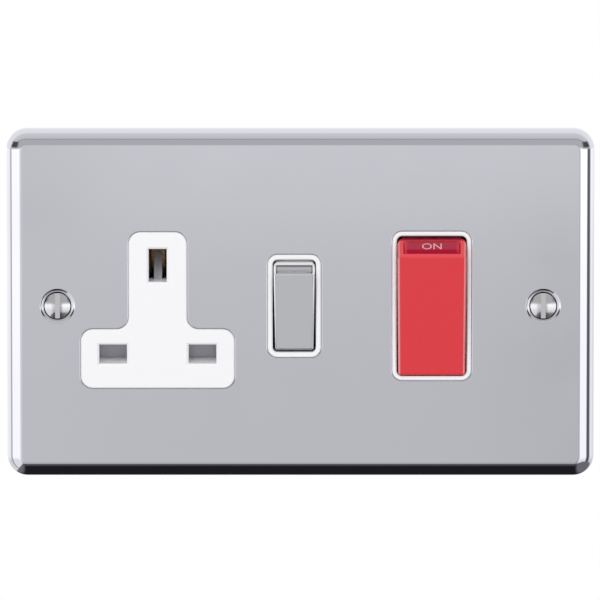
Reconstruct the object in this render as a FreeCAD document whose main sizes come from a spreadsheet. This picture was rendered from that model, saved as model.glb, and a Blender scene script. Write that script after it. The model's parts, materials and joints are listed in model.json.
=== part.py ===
import FreeCAD, Part
import math
import os
import re
import Sketcher

# Cooker control unit: X to the right, Y into the wall, Z up, millimetres.
# The origin is the middle of the plate on the wall plane, so the front faces -Y.

SIZES = {
    # Front plate
    "fixing_edge": 12.7,
    "fixing_room": 3.7,
    "plate_margin": 13.0,
    "plate_depth": 5.0,
    "plate_steel": 1.2,
    "plate_corner": 5.2,
    "plate_roll": 4.0,
    "insert_gap": 0.15,
    "insert_proud": 0.2,
    "aperture_roll": 0.3,
    "dish_width": 8.8,
    "dish_depth": 0.45,
    "fixing_hole": 4.2,
    # Socket insert, its pin holes and the spacing across the plate
    "left_margin": 2.08,
    "insert_width": 38.2,
    "insert_base": 14.8,
    "insert_stem": 14.5,
    "insert_top": 18.5,
    "insert_bottom": 20.6,
    "insert_corner": 3.0,
    "switch_gap": 8.175,
    "cooker_gap": 17.695,
    "right_margin": 14.2,
    "pin_centres": 22.2,
    "earth_above": 22.2,
    "earth_height": 10.15,
    "earth_hole_width": 4.5,
    "earth_hole_height": 8.3,
    "live_hole_width": 6.9,
    "live_hole_height": 4.8,
    "hole_bevel": 0.5,
    "hole_ramp": 0.5,
    "tunnel_wall": 1.2,
    "tunnel_depth": 7.7,
    # Switch frames and rockers
    "socket_frame_width": 13.25,
    "socket_frame_height": 25.7,
    "socket_frame_border": 1.25,
    "cooker_frame_width": 19.6,
    "cooker_frame_height": 37.3,
    "cooker_frame_border": 1.1,
    "frame_corner": 2.5,
    "frame_edge": 0.3,
    "well_wall": 1.6,
    "well_below_pivot": 3.5,
    "pivot_depth": 4.7,
    "rocker_gap": 0.3,
    "rocker_tilt": 7.0,
    "rocker_wall": 1.5,
    "rocker_skirt": 2.5,
    "rocker_corner": 1.1,
    "rocker_edge": 0.5,
    "trunnion_radius": 1.5,
    "trunnion_length": 1.3,
    "pivot_fit": 0.05,
    "cooker_face": 7.05,
    "cooker_drop": 3.6,
    "cooker_bevel": 55.0,
    "cooker_taper": 0.5,
    "cooker_bar": 13.4,
    "cooker_bar_low": 1.3,
    "cooker_bar_high": 0.35,
    "socket_face": 5.6,
    "socket_drop": 2.3,
    "socket_bevel": 60.0,
    "socket_taper": 0.4,
    "socket_bar": 9.0,
    "socket_bar_low": 0.45,
    "socket_bar_high": 0.8,
    "bar_depth": 1.2,
    "lens_sink": 0.1,
    "lens_fit": 0.05,
    # Plungers and contact arms
    "plunger_radius": 1.6,
    "plunger_reach": 12.0,
    "plunger_length": 7.5,
    "plunger_nose": 1.2,
    "post_wall": 0.75,
    "post_bury": 0.2,
    "post_reach": 9.0,
    "bore_above_pivot": 1.5,
    "plunger_gap": 0.15,
    "arm_share": 1.05,
    "arm_steel": 1.2,
    "arm_reach": 9.0,
    "arm_end": 1.8,
    "arm_tilt": 8.0,
    "arm_pin": 0.55,
    "button_radius": 1.4,
    "button_height": 0.5,
    "button_gap": 0.3,
    "cheek_steel": 0.7,
    "cheek_gap": 0.3,
    "cheek_height": 2.2,
    "strip_share": 1.19,
    "strip_apart": 1.1,
    "seat_inset": 0.4,
    "strip_steel": 1.0,
    "strip_lap": 6.0,
    "strip_corner": 0.5,
    "inner_corner": 0.2,
    "feed_corner": 1.5,
    "button_margin": 0.6,
    # Terminals and rear housing
    "base_thickness": 2.2,
    "housing_wall": 2.0,
    "housing_corner": 3.0,
    "arm_to_terminal": 5.7,
    "terminal_length": 10.0,
    "terminal_width": 9.0,
    "terminal_depth": 11.0,
    "terminal_lead": 2.0,
    "terminal_room": 1.5,
    "block_edge": 0.8,
    "cable_radius": 3.25,
    "cable_front": 1.05,
    "entry_radius": 4.2,
    "clamp_radius": 2.0,
    "clamp_fit": 0.05,
    "clamp_hole": 2.6,
    "earth_terminal_side": 7.7,
    "pillar_gap": 0.2,
    "pillar_radius": 3.2,
    "pillar_front": 5.0,
    "pillar_floor": 3.0,
    "screw_radius": 1.45,
    "screw_head": 2.4,
    "screw_head_height": 2.0,
    "screw_clearance": 0.25,
    "slot_width": 0.8,
    "slot_depth": 1.0,
    # Shutter and socket contacts
    "blade_steel": 1.8,
    "blade_gap": 0.3,
    "blade_lap": 0.8,
    "shutter_travel": 5.9,
    "shutter_stem": 6.0,
    "ramp_width": 2.0,
    "ramp_front": 0.9,
    "ramp_slope": 47.0,
    "rail_wall": 1.2,
    "seat_steel": 1.2,
    "seat_below": 5.6,
    "peg_radius": 0.8,
    "peg_length": 1.8,
    "coil_radius": 1.35,
    "coil_wire": 0.4,
    "leaf_steel": 0.8,
    "earth_pin": 4.0,
    "earth_contact_front": 3.2,
    "live_pin": 4.0,
    "live_contact_front": 5.4,
    "contact_half": 3.0,
    "lead_apart": 5.0,
    "lead_corner": 2.0,
    "leaf_flare": 0.9,
    "leaf_pinch": 0.3,
    "strap_half": 2.0,
    "strap_foot": 1.4,
    "strap_tab": 3.4,
    "link_steel": 1.0,
    "link_gap": 1.0,
    "link_width": 3.0,
    "stud_radius": 1.2,
    "stud_length": 4.6,
    "clip_radius": 2.8,
    "clip_steel": 0.6,
    "stud_above": 7.5,
    "stud_side": 5.0,
    # Fixing screws
    "fixing_thread": 1.75,
    "fixing_neck": 1.5,
    "fixing_head": 3.25,
    "fixing_dome": 0.75,
    "dome_share": 0.62,
    "dome_drop": 0.15,
    "fixing_length": 26.0,
    "fixing_slot": 1.1,
    "fixing_slot_depth": 0.9,
}

# Places that follow from the sizes
PLACES = {
    "housing_width": "left_margin + insert_width + switch_gap + socket_frame_width"
                     " + cooker_gap + cooker_frame_width + right_margin",
    "fixing_centres": "housing_width + 2 * fixing_room",
    "plate_width": "fixing_centres + 2 * fixing_edge",
    "terminal_inner": "arm_reach + arm_end + arm_to_terminal",
    "terminal_middle": "terminal_inner + terminal_length / 2",
    "terminal_outer": "terminal_inner + terminal_length",
    "inner_height": "2 * (terminal_outer + terminal_room)",
    "housing_height": "inner_height + 2 * housing_wall",
    "plate_height": "housing_height + 2 * plate_margin",
    "insert_x": "left_margin + insert_width / 2 - housing_width / 2",
    "socket_x": "insert_x + insert_width / 2 + switch_gap + socket_frame_width / 2",
    "cooker_x": "socket_x + socket_frame_width / 2 + cooker_gap + cooker_frame_width / 2",
    "earth_x": "socket_x + socket_frame_width / 2 + earth_terminal_side",
    "live_z": "earth_height - earth_above",
    "line_pin_x": "insert_x + pin_centres / 2",
    "neutral_pin_x": "insert_x - pin_centres / 2",
    "plate_inner": "plate_steel - plate_depth",
    "insert_front": "0 - plate_depth - insert_proud",
    "base_back": "plate_inner + base_thickness",
    "pivot_y": "insert_front + pivot_depth",
    "well_back": "pivot_y + well_below_pivot",
    "tunnel_back": "insert_front + tunnel_depth",
    "arm_y": "pivot_y + plunger_reach + plunger_gap + arm_steel / 2",
    "strip_front": "arm_y + arm_reach * sin(arm_tilt) + arm_steel / 2 + 2 * button_height + button_gap",
    "strip_back": "strip_front + strip_steel",
    "cable_y": "strip_back + cable_front + cable_radius",
    "floor_front": "strip_back + terminal_depth",
    "housing_back": "floor_front + housing_wall",
    "cooker_opening_width": "cooker_frame_width - 2 * cooker_frame_border",
    "cooker_opening_height": "cooker_frame_height - 2 * cooker_frame_border",
    "socket_opening_width": "socket_frame_width - 2 * socket_frame_border",
    "socket_opening_height": "socket_frame_height - 2 * socket_frame_border",
    "cooker_ridge": "cooker_frame_height / 2 - cooker_frame_border - rocker_gap - cooker_drop",
    "socket_ridge": "socket_frame_height / 2 - socket_frame_border - rocker_gap - socket_drop",
    "pole_offset": "cooker_frame_width / 2 - cooker_frame_border - rocker_gap - cooker_taper - rocker_wall"
                   " - plunger_radius - pivot_fit - post_wall + post_bury",
    "arm_width": "arm_share * pole_offset",
    "arm_ears": "arm_width / 2 + cheek_gap + cheek_steel",
    "strip_width": "strip_share * pole_offset",
    "terminal_offset": "pole_offset + terminal_lead",
    "stud_height": "terminal_inner + stud_above",
    "blade_front": "tunnel_back + blade_gap",
    "blade_back": "blade_front + blade_steel",
    "blade_top": "live_z + live_hole_height / 2 + blade_lap",
    "blade_bottom": "live_z - live_hole_height / 2 - blade_lap",
    "blade_half": "pin_centres / 2 + live_hole_width / 2 + blade_lap",
    "seat_z": "blade_bottom - shutter_travel - seat_below",
    "link_back": "strip_front - link_gap",
    "link_front": "link_back - link_steel",
    "link_z": "0 - terminal_outer + link_width / 2 + 0.5",
    "pillar_x": "housing_width / 2 - housing_wall - pillar_radius - pillar_gap",
    "pillar_z": "inner_height / 2 - pillar_radius - pillar_gap",
    "stud_left": "insert_x + insert_width / 2 + switch_gap / 2",
    "stud_right": "cooker_x + cooker_frame_width / 2 + stud_side",
}

LEFT = 1
RIGHT = -1
ROUND = 360
AXIS_LENGTH = 10

doc = FreeCAD.newDocument("cooker_control_unit")
sheet = doc.addObject("Spreadsheet::Sheet", "sizes")
for row, (alias, size) in enumerate(SIZES.items(), start=1):
    sheet.set(f"A{row}", alias)
    sheet.set(f"B{row}", str(size))
    sheet.setAlias(f"B{row}", alias)
doc.recompute()


def bind(text):
    """Turns the words of an expression into references to the sheet's cells.

    A place is put in brackets only where its sum needs them, since deep brackets read slowly.
    """
    text = str(text)

    def swap(match):
        word = match.group(0)
        if word not in PLACES:
            return f"sizes.{word}" if word in SIZES else word
        before = text[:match.start()].rstrip()[-1:]
        after = text[match.end():].lstrip()[:1]
        sum_only = before in ("", "(", "+") and after not in ("*", "/", "^")
        return bind(PLACES[word]) if sum_only else f"({bind(PLACES[word])})"
    return re.sub(r"[a-z][a-z_]*", swap, text)


def value(text):
    return float(sheet.evalExpression(bind(text)))


# Drawing helpers

def rounded(corners):
    """Gives each square corner of an outline (u, v, radius) its arc, anticlockwise."""
    path = []
    spots = [(value(u), value(v)) for u, v, radius in corners]
    for index, (u, v, radius) in enumerate(corners):
        here = spots[index]
        before = spots[index - 1]
        after = spots[(index + 1) % len(spots)]
        back = [math.copysign(1, b - h) if abs(b - h) > 1e-6 else 0 for b, h in zip(before, here)]
        ahead = [math.copysign(1, a - h) if abs(a - h) > 1e-6 else 0 for a, h in zip(after, here)]
        turn = LEFT if ahead[0] * back[1] - ahead[1] * back[0] > 0 else RIGHT
        path.append((f"{u} + {back[0]} * ({radius})", f"{v} + {back[1]} * ({radius})", radius, turn))
        path.append((f"{u} + {ahead[0]} * ({radius})", f"{v} + {ahead[1]} * ({radius})"))
    return path


def corners_of(left, right, low, high):
    return [(left, low), (right, low), (right, high), (left, high)]


def box(u, v, width, height, radius=None):
    """A rectangle about its middle, with round corners where a radius is given."""
    points = corners_of(f"{u} - ({width}) / 2", f"{u} + ({width}) / 2",
                        f"{v} - ({height}) / 2", f"{v} + ({height}) / 2")
    if radius is None:
        return points
    return rounded([(a, b, radius) for a, b in points])


def circle(u, v, radius):
    return ("circle", u, v, radius)


def fix(drawing, geometry, vertex, u, v):
    """Ties a point of a sketch to its place."""
    for kind, text in (("DistanceX", u), ("DistanceY", v)):
        number = drawing.addConstraint(Sketcher.Constraint(kind, -1, 1, geometry, vertex, value(text)))
        drawing.setExpression(f"Constraints[{number}]", bind(text))


def draw_circle(drawing, u, v, radius):
    centre = FreeCAD.Vector(value(u), value(v), 0)
    number = drawing.addGeometry(Part.Circle(centre, FreeCAD.Vector(0, 0, 1), value(radius)), False)
    fix(drawing, number, 3, u, v)
    limit = drawing.addConstraint(Sketcher.Constraint("Radius", number, value(radius)))
    drawing.setExpression(f"Constraints[{limit}]", bind(radius))


def arc_through(start, end, radius, turn):
    chord = end - start
    drop = math.sqrt(max(radius ** 2 - (chord.Length / 2) ** 2, 0))
    across = FreeCAD.Vector(-chord.y, chord.x, 0).normalize()
    centre = (start + end) * 0.5 + across * drop * turn
    angles = [math.atan2(spot.y - centre.y, spot.x - centre.x) for spot in (start, end)]
    ring = Part.Circle(centre, FreeCAD.Vector(0, 0, 1), radius)
    return Part.ArcOfCircle(ring, *(angles if turn == LEFT else reversed(angles)))


def draw_path(drawing, path):
    """Closes a loop; a corner with a radius and a turn starts an arc to the next corner."""
    spots = [FreeCAD.Vector(value(corner[0]), value(corner[1]), 0) for corner in path]
    pieces = []
    for index, corner in enumerate(path):
        start = spots[index]
        end = spots[(index + 1) % len(spots)]
        if len(corner) == 2:
            number = drawing.addGeometry(Part.LineSegment(start, end), False)
            pieces.append((number, 1, 2))
            continue
        radius, turn = corner[2:]
        number = drawing.addGeometry(arc_through(start, end, value(radius), turn), False)
        limit = drawing.addConstraint(Sketcher.Constraint("Radius", number, value(radius)))
        drawing.setExpression(f"Constraints[{limit}]", bind(radius))
        pieces.append((number, 1, 2) if turn == LEFT else (number, 2, 1))
    for index, (number, first, last) in enumerate(pieces):
        following = pieces[(index + 1) % len(pieces)]
        drawing.addConstraint(Sketcher.Constraint("Coincident", number, last, following[0], following[1]))
        fix(drawing, number, first, path[index][0], path[index][1])


PLANES = {"X": ("YZ_Plane", 1), "Y": ("XZ_Plane", -1), "Z": ("XY_Plane", 1)}


def sketch(body, name, axis, level, loops):
    role, sign = PLANES[axis]
    drawing = body.newObject("Sketcher::SketchObject", name + "_sketch")
    plane = next(feature for feature in body.Origin.OriginFeatures if feature.Role == role)
    drawing.AttachmentSupport = (plane, [""])
    drawing.MapMode = "FlatFace"
    drawing.setExpression(".AttachmentOffset.Base.z", bind(f"{sign} * ({level})"))
    for loop in loops:
        if loop[0] == "circle":
            draw_circle(drawing, *loop[1:])
        else:
            draw_path(drawing, loop)
    return drawing


# Feature helpers

def new_body(label, x="0", y="0", z="0", tilt=None):
    body = doc.addObject("PartDesign::Body", label)
    body.Label = label
    if tilt is not None:
        body.Placement.Rotation = FreeCAD.Rotation(FreeCAD.Vector(1, 0, 0), 1)
        body.setExpression(".Placement.Rotation.Angle", bind(tilt))
    for letter, place in zip("xyz", (x, y, z)):
        body.setExpression(f".Placement.Base.{letter}", bind(place))
    return body


def pad(body, name, axis, loops, start, end):
    level = end if axis == "Y" else start
    feature = body.newObject("PartDesign::Pad", name)
    feature.Profile = sketch(body, name, axis, level, loops)
    feature.setExpression("Length", bind(f"{end} - ({start})"))
    doc.recompute()
    return feature


def pocket(body, name, axis, loops, start, end):
    before = body.Shape.Volume
    level = start if axis == "Y" else end
    feature = body.newObject("PartDesign::Pocket", name)
    feature.Profile = sketch(body, name, axis, level, loops)
    feature.setExpression("Length", bind(f"{end} - ({start})"))
    doc.recompute()
    if feature.Shape.Volume > before - 1e-3:
        raise RuntimeError(f"{body.Label}: {name} cuts nothing")
    return feature


def revolve(body, name, path, cut=False, axis_x="0"):
    """Turns a profile of (distance along X, place along Y) about a line parallel to Y."""
    before = body.Shape.Volume if cut else 0
    feature = body.newObject("PartDesign::Groove" if cut else "PartDesign::Revolution", name)
    drawing = sketch(body, name, "Z", "0", [path])
    ends = [FreeCAD.Vector(value(axis_x), height, 0) for height in (0, AXIS_LENGTH)]
    middle = Part.LineSegment(*ends)
    number = drawing.addGeometry(middle, True)
    fix(drawing, number, 1, axis_x, "0")
    fix(drawing, number, 2, axis_x, str(AXIS_LENGTH))
    feature.Profile = drawing
    feature.ReferenceAxis = (drawing, ["Axis0"])
    feature.Angle = ROUND
    doc.recompute()
    if cut and feature.Shape.Volume > before - 1e-3:
        raise RuntimeError(f"{body.Label}: {name} cuts nothing")
    return feature


def ease(body, kind, name, size, chosen):
    """Fillets or chamfers the edges of the tip that the test picks."""
    base = body.Tip
    names = [f"Edge{number}" for number, edge in enumerate(base.Shape.Edges, start=1) if chosen(edge)]
    feature = body.newObject(f"PartDesign::{kind}", name)
    feature.Base = (base, names)
    feature.setExpression("Radius" if kind == "Fillet" else "Size", bind(size))
    doc.recompute()
    return feature


def lies_at(edge, y):
    bounds = edge.BoundBox
    return abs(bounds.YMin - y) < 1e-4 and abs(bounds.YMax - y) < 1e-4


def within(edge, x, z, width, height):
    """Whether the edge lies inside a rectangle about (x, z), seen from the front."""
    bounds = edge.BoundBox
    return (abs(bounds.Center.x - x) < width / 2 + 0.01 and abs(bounds.Center.z - z) < height / 2 + 0.01
            and bounds.XLength < width + 0.02 and bounds.ZLength < height + 0.02)


# Outlines that several pieces share

def insert_outline(grow="0"):
    """The T of the socket insert, from its lower left corner."""
    half = f"insert_width / 2 + {grow}"
    stem = f"insert_stem / 2 + {grow}"
    low = f"0 - insert_bottom - ({grow})"
    shoulder = f"insert_base - insert_bottom + {grow}"
    high = f"insert_top + {grow}"
    outer = f"insert_corner + {grow}"
    inner = f"insert_corner - ({grow})"
    return rounded([
        (f"insert_x - ({half})", low, outer), (f"insert_x + {half}", low, outer),
        (f"insert_x + {half}", shoulder, outer), (f"insert_x + {stem}", shoulder, inner),
        (f"insert_x + {stem}", high, outer), (f"insert_x - ({stem})", high, outer),
        (f"insert_x - ({stem})", shoulder, inner), (f"insert_x - ({half})", shoulder, outer)])


def frame_outline(kind, grow="0"):
    return box(f"{kind}_x", "0", f"{kind}_frame_width + 2 * ({grow})",
               f"{kind}_frame_height + 2 * ({grow})", f"frame_corner + {grow}")


def opening_outline(kind):
    return box(f"{kind}_x", "0", f"{kind}_opening_width", f"{kind}_opening_height",
               f"frame_corner - {kind}_frame_border")


def pin_holes(grow="0"):
    live = (f"live_hole_width + 2 * ({grow})", f"live_hole_height + 2 * ({grow})")
    return [box("insert_x", "earth_height", f"earth_hole_width + 2 * ({grow})",
                f"earth_hole_height + 2 * ({grow})"),
            box("line_pin_x", "live_z", *live), box("neutral_pin_x", "live_z", *live)]


cooker_line = "cooker_x - pole_offset"
cooker_neutral = "cooker_x + pole_offset"
PILLARS = [(f"{across} * pillar_x", f"{up} * pillar_z") for across in (-1, 1) for up in (-1, 1)]
STUDS = [("stud_left", "stud_height"), ("stud_left", "0 - stud_height"),
         ("stud_right", "stud_height / 2"), ("stud_right", "0 - stud_height / 2")]


# Front plate

def front_plate():
    body = new_body("front_plate")
    pad(body, "blank", "Y", [box("0", "0", "plate_width", "plate_height", "plate_corner")],
        "0 - plate_depth", "0")
    ease(body, "Fillet", "rolled_edge", "plate_roll", lambda edge: lies_at(edge, value("0 - plate_depth")))
    pocket(body, "inside", "Y", [box("0", "0", "plate_width - 2 * plate_steel",
                                     "plate_height - 2 * plate_steel", "plate_corner - plate_steel")],
           "plate_inner", "0")
    inner = value("plate_inner")
    ease(body, "Chamfer", "inner_roll", "plate_roll - 2 * plate_steel", lambda edge: lies_at(edge, inner))
    for side, name in ((-1, "left"), (1, "right")):
        middle = f"{side} * fixing_centres / 2"
        revolve(body, f"{name}_dish_back", [
            (middle, "plate_inner - 0.3"), (f"{middle} + dish_width / 2 + plate_steel", "plate_inner - 0.3"),
            (f"{middle} + dish_width / 2 + 0.8", "plate_inner"),
            (f"{middle} + fixing_hole / 2 + plate_steel", "plate_inner + 1.4"),
            (middle, "plate_inner + 1.4")], axis_x=middle)
        revolve(body, f"{name}_dish", [
            (middle, "0 - plate_depth - 1"), (f"{middle} + dish_width / 2", "0 - plate_depth - 1"),
            (f"{middle} + dish_width / 2", "0 - plate_depth"),
            (f"{middle} + fixing_head + 0.15", "dish_depth - plate_depth"),
            (f"{middle} + fixing_hole / 2", "plate_inner + 0.6"),
            (f"{middle} + fixing_hole / 2", "plate_inner + 2"), (middle, "plate_inner + 2")],
            cut=True, axis_x=middle)
    holes = [insert_outline("insert_gap"), frame_outline("socket", "insert_gap"),
             frame_outline("cooker", "insert_gap")]
    pocket(body, "apertures", "Y", holes, "0 - plate_depth", "plate_inner")
    middle_x = value("(cooker_x + insert_x) / 2")
    reach = value("cooker_x + cooker_frame_width - insert_x + insert_width")
    ease(body, "Chamfer", "aperture_edges", "aperture_roll",
         lambda edge: lies_at(edge, value("0 - plate_depth"))
         and within(edge, middle_x, 0, reach * 0.95, value("2 * insert_bottom + 2"))
         and edge.BoundBox.DiagonalLength < value("plate_width") / 2)
    pad(body, "studs", "Y", [circle(x, z, "stud_radius") for x, z in STUDS],
        "plate_inner - 0.3", "plate_inner + stud_length")
    return body


# Front moulding

def front_moulding():
    body = new_body("front_moulding")
    pad(body, "base", "Y", [box("0", "0", "housing_width", "housing_height", "housing_corner")],
        "plate_inner", "base_back")
    pad(body, "bosses", "Y", [insert_outline(), frame_outline("socket"), frame_outline("cooker")],
        "insert_front", "base_back")
    wells = [box(f"{kind}_x", "0", f"{kind}_opening_width + 2 * well_wall",
                 f"{kind}_opening_height + 2 * well_wall", "frame_corner") for kind in ("socket", "cooker")]
    pad(body, "wells", "Y", wells, "plate_inner", "well_back")
    pad(body, "pin_tunnels", "Y", pin_holes("tunnel_wall"), "plate_inner", "tunnel_back")
    pad(body, "screw_bosses", "Y", [circle(x, z, "pillar_radius") for x, z in PILLARS],
        "plate_inner", "pillar_front")
    for side, name in ((-1, "left"), (1, "right")):
        inside = f"insert_x + {side} * (blade_half + blade_gap)"
        outside = f"insert_x + {side} * (blade_half + blade_gap + rail_wall)"
        lip = f"insert_x + {side} * (blade_half - rail_wall)"
        rail = [(inside, "base_back - 0.5"), (outside, "base_back - 0.5"),
                (outside, "blade_back + blade_gap + rail_wall"), (lip, "blade_back + blade_gap + rail_wall"),
                (lip, "blade_back + blade_gap"), (inside, "blade_back + blade_gap")]
        pad(body, f"{name}_rail", "Z", [rail], "blade_bottom - shutter_travel", "blade_top + blade_lap")
    pad(body, "spring_seat", "Z",
        [corners_of("insert_x - shutter_stem / 2", "insert_x + shutter_stem / 2",
                    "base_back - 0.5", "blade_back + blade_gap + rail_wall")],
        "seat_z - seat_steel", "seat_z")
    pad(body, "spring_peg", "Z", [circle("insert_x", "blade_front + blade_steel / 2", "peg_radius")],
        "seat_z - 0.3", "seat_z + peg_length")
    for kind in ("socket", "cooker"):
        pocket(body, f"{kind}_well", "Y", [opening_outline(kind)], "insert_front", "well_back")
        reach = f"{kind}_opening_width / 2 + trunnion_length + rocker_gap / 2"
        pocket(body, f"{kind}_bearings", "X", [circle("pivot_y", "0", "trunnion_radius + pivot_fit")],
               f"{kind}_x - ({reach})", f"{kind}_x + {reach}")
    pocket(body, "pin_holes", "Y", pin_holes(), "insert_front", "tunnel_back")
    low = "live_z - live_hole_height / 2"
    ramp = [("insert_front + 2 * hole_bevel", low), ("insert_front + 2 * hole_bevel", f"{low} - tunnel_wall / 2"),
            ("tunnel_back", f"{low} - tunnel_wall / 2"), ("tunnel_back", f"{low} + hole_ramp")]
    for name, x in (("line", "line_pin_x"), ("neutral", "neutral_pin_x")):
        reach = "(live_hole_width + tunnel_wall) / 2"
        pad(body, f"{name}_hole_ramp", "X", [ramp], f"{x} - {reach}", f"{x} + {reach}")
    pocket(body, "ramp_notch", "Y",
           [corners_of("insert_x - ramp_width / 2 - blade_gap", "insert_x + ramp_width / 2 + blade_gap",
                       "earth_height - earth_hole_height / 2 - tunnel_wall - 0.1", "earth_height")],
           "ramp_front - blade_gap", "tunnel_back")
    pocket(body, "screw_pilots", "Y", [circle(x, z, "screw_radius + 0.05") for x, z in PILLARS],
           "plate_inner + 0.8", "pillar_front")
    pocket(body, "stud_holes", "Y", [circle(x, z, "stud_radius + 0.2") for x, z in STUDS],
           "plate_inner", "base_back")
    pocket(body, "dish_room", "Y", [circle(f"{side} * fixing_centres / 2", "0", "dish_width / 2 + 1.4")
                                    for side in (-1, 1)], "plate_inner", "base_back")
    pocket(body, "strap_slot", "Y", [box("earth_x", "stud_height + strap_tab / 2", "2 * strap_half + 0.6", "strap_tab + 1")],
           "plate_inner", "base_back")
    front = value("insert_front")
    holes = [(value(x), value(z), value(width) + 0.1, value(height) + 0.1) for x, z, width, height in (
        ("insert_x", "earth_height", "earth_hole_width", "earth_hole_height"),
        ("line_pin_x", "live_z", "live_hole_width", "live_hole_height"),
        ("neutral_pin_x", "live_z", "live_hole_width", "live_hole_height"))]
    ease(body, "Chamfer", "hole_bevels", "hole_bevel",
         lambda edge: lies_at(edge, front) and any(within(edge, *hole) for hole in holes))
    bevelled = value("hole_bevel")
    bevels = [(x, z, width + 2 * bevelled, height + 2 * bevelled) for x, z, width, height in holes]
    ease(body, "Chamfer", "front_edges", "frame_edge",
         lambda edge: lies_at(edge, front) and not any(within(edge, *bevel) for bevel in bevels))
    return body


# Rockers

def bevel_points(kind):
    """The ridge, the direction of the bevel and its length up to the round end."""
    face, ridge, angle = f"{kind}_face", f"{kind}_ridge", f"{kind}_bevel"
    radius = f"({kind}_opening_height / 2 - rocker_gap)"
    along = f"({ridge} * cos({angle}) - {face} * sin({angle}))"
    length = f"(sqrt({along}^2 + {radius}^2 - {face}^2 - {ridge}^2) - {along})"
    return face, ridge, angle, radius, length


def on_bevel(kind, along, deep):
    """A point of the side view, so far up the bevel from the ridge and so deep under it."""
    face, ridge, angle, radius, length = bevel_points(kind)
    along = along.replace("LENGTH", length)
    return (f"0 - {face} + ({along}) * sin({angle}) + ({deep}) * cos({angle})",
            f"{ridge} + ({along}) * cos({angle}) - ({deep}) * sin({angle})")


def rocker(kind, poles):
    body = new_body(f"{kind}_rocker", f"{kind}_x", "pivot_y", "0", "rocker_tilt")
    face, ridge, angle, radius, length = bevel_points(kind)
    top = f"({kind}_opening_width / 2 - rocker_gap)"
    bottom = f"({top} - {kind}_taper)"
    pad(body, "blank", "Y",
        [[(f"0 - {bottom}", f"0 - {radius}"), (bottom, f"0 - {radius}"), (top, radius), (f"0 - {top}", radius)]],
        f"0 - {face}", "rocker_skirt")
    ease(body, "Fillet", "corners", "rocker_corner",
         lambda edge: edge.BoundBox.YLength > 5 and edge.BoundBox.ZLength < 1)
    low = f"0 - sqrt({radius}^2 - {face}^2)"
    skirt = f"sqrt({radius}^2 - rocker_skirt^2)"
    bevel_end = on_bevel(kind, "LENGTH", "0")
    side = [(f"0 - {face}", low, radius, LEFT), ("rocker_skirt", f"0 - {skirt}"),
            ("rocker_skirt", skirt, radius, LEFT), bevel_end, (f"0 - {face}", ridge)]
    around = corners_of(f"0 - {face} - 2", "rocker_skirt + 2", f"0 - {radius} - 2", f"{radius} + 2")
    pocket(body, "side_view", "X", [around, side], f"0 - {top} - 1", f"{top} + 1")
    hollow = corners_of(f"rocker_wall - {bottom}", f"{bottom} - rocker_wall",
                        f"{low} + rocker_wall", f"{ridge} - bar_depth - 0.4")
    pocket(body, "hollow", "Y", [hollow], f"rocker_wall - {face}", "rocker_skirt")
    posts = [circle(offset, "0", "plunger_radius + pivot_fit + post_wall") for offset in poles]
    pad(body, "plunger_posts", "Y", posts, f"rocker_wall - {face} - 0.3", "post_reach")
    bores = [circle(offset, "0", "plunger_radius + pivot_fit") for offset in poles]
    pocket(body, "plunger_bores", "Y", bores, "0 - bore_above_pivot", "post_reach")
    for sign, name in ((-1, "left"), (1, "right")):
        ends = [f"{sign} * ({bottom} - 0.5)", f"{sign} * ({top} + trunnion_length)"]
        start, end = ends if sign > 0 else reversed(ends)
        pad(body, f"{name}_trunnion", "X", [circle("0", "0", "trunnion_radius")], start, end)
    low_end, high_end = f"{kind}_bar_low", f"LENGTH - {kind}_bar_high"
    recess = [on_bevel(kind, low_end, "0 - 1"), on_bevel(kind, high_end, "0 - 1"),
              on_bevel(kind, high_end, "bar_depth"), on_bevel(kind, low_end, "bar_depth")]
    pocket(body, "bar_recess", "X", [recess], f"0 - {kind}_bar / 2", f"{kind}_bar / 2")
    outer = [value(f"0 - {face}"), value(low), value(ridge)]
    ease(body, "Fillet", "face_edges", "rocker_edge",
         lambda edge: lies_at(edge, outer[0]) and edge.BoundBox.ZMax < outer[2] - 0.5)
    return body


def legend_lens():
    body = new_body("legend_lens", "cooker_x", "pivot_y", "0", "rocker_tilt")
    low_end, high_end = "cooker_bar_low + lens_fit", "LENGTH - cooker_bar_high - lens_fit"
    bar = [on_bevel("cooker", low_end, "lens_sink"), on_bevel("cooker", high_end, "lens_sink"),
           on_bevel("cooker", high_end, "bar_depth"), on_bevel("cooker", low_end, "bar_depth")]
    pad(body, "bar", "X", [bar], "lens_fit - cooker_bar / 2", "cooker_bar / 2 - lens_fit")
    return body


def plunger(name, x):
    body = new_body(name, x, "pivot_y", "0", "rocker_tilt")
    back = "(plunger_reach - plunger_length)"
    revolve(body, "pin", [
        ("0", back), ("plunger_radius", back), ("plunger_radius", "plunger_reach - plunger_nose"),
        ("plunger_nose / 2", "plunger_reach"), ("0", "plunger_reach")])
    return body


def coil(name, x, y, z, length, turns, tilt=None, upright=False):
    """A spring of flat wire, wound along Y or, if upright, along Z."""
    body = new_body(name, x, y, z, tilt)
    inner, outer = "coil_radius - coil_wire / 2", "coil_radius + coil_wire / 2"
    section = corners_of(inner, outer, "0", "coil_wire")
    drawing = sketch(body, "wire", "Y" if upright else "Z", "0", [section])
    wound = body.newObject("PartDesign::AdditiveHelix", "winding")
    wound.Profile = drawing
    wound.ReferenceAxis = (drawing, ["V_Axis"])
    wound.Mode = "height-turns-angle"
    wound.setExpression("Height", bind(f"({length}) - coil_wire"))
    wound.Turns = turns
    doc.recompute()
    return body


# Contact arms and strips

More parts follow.
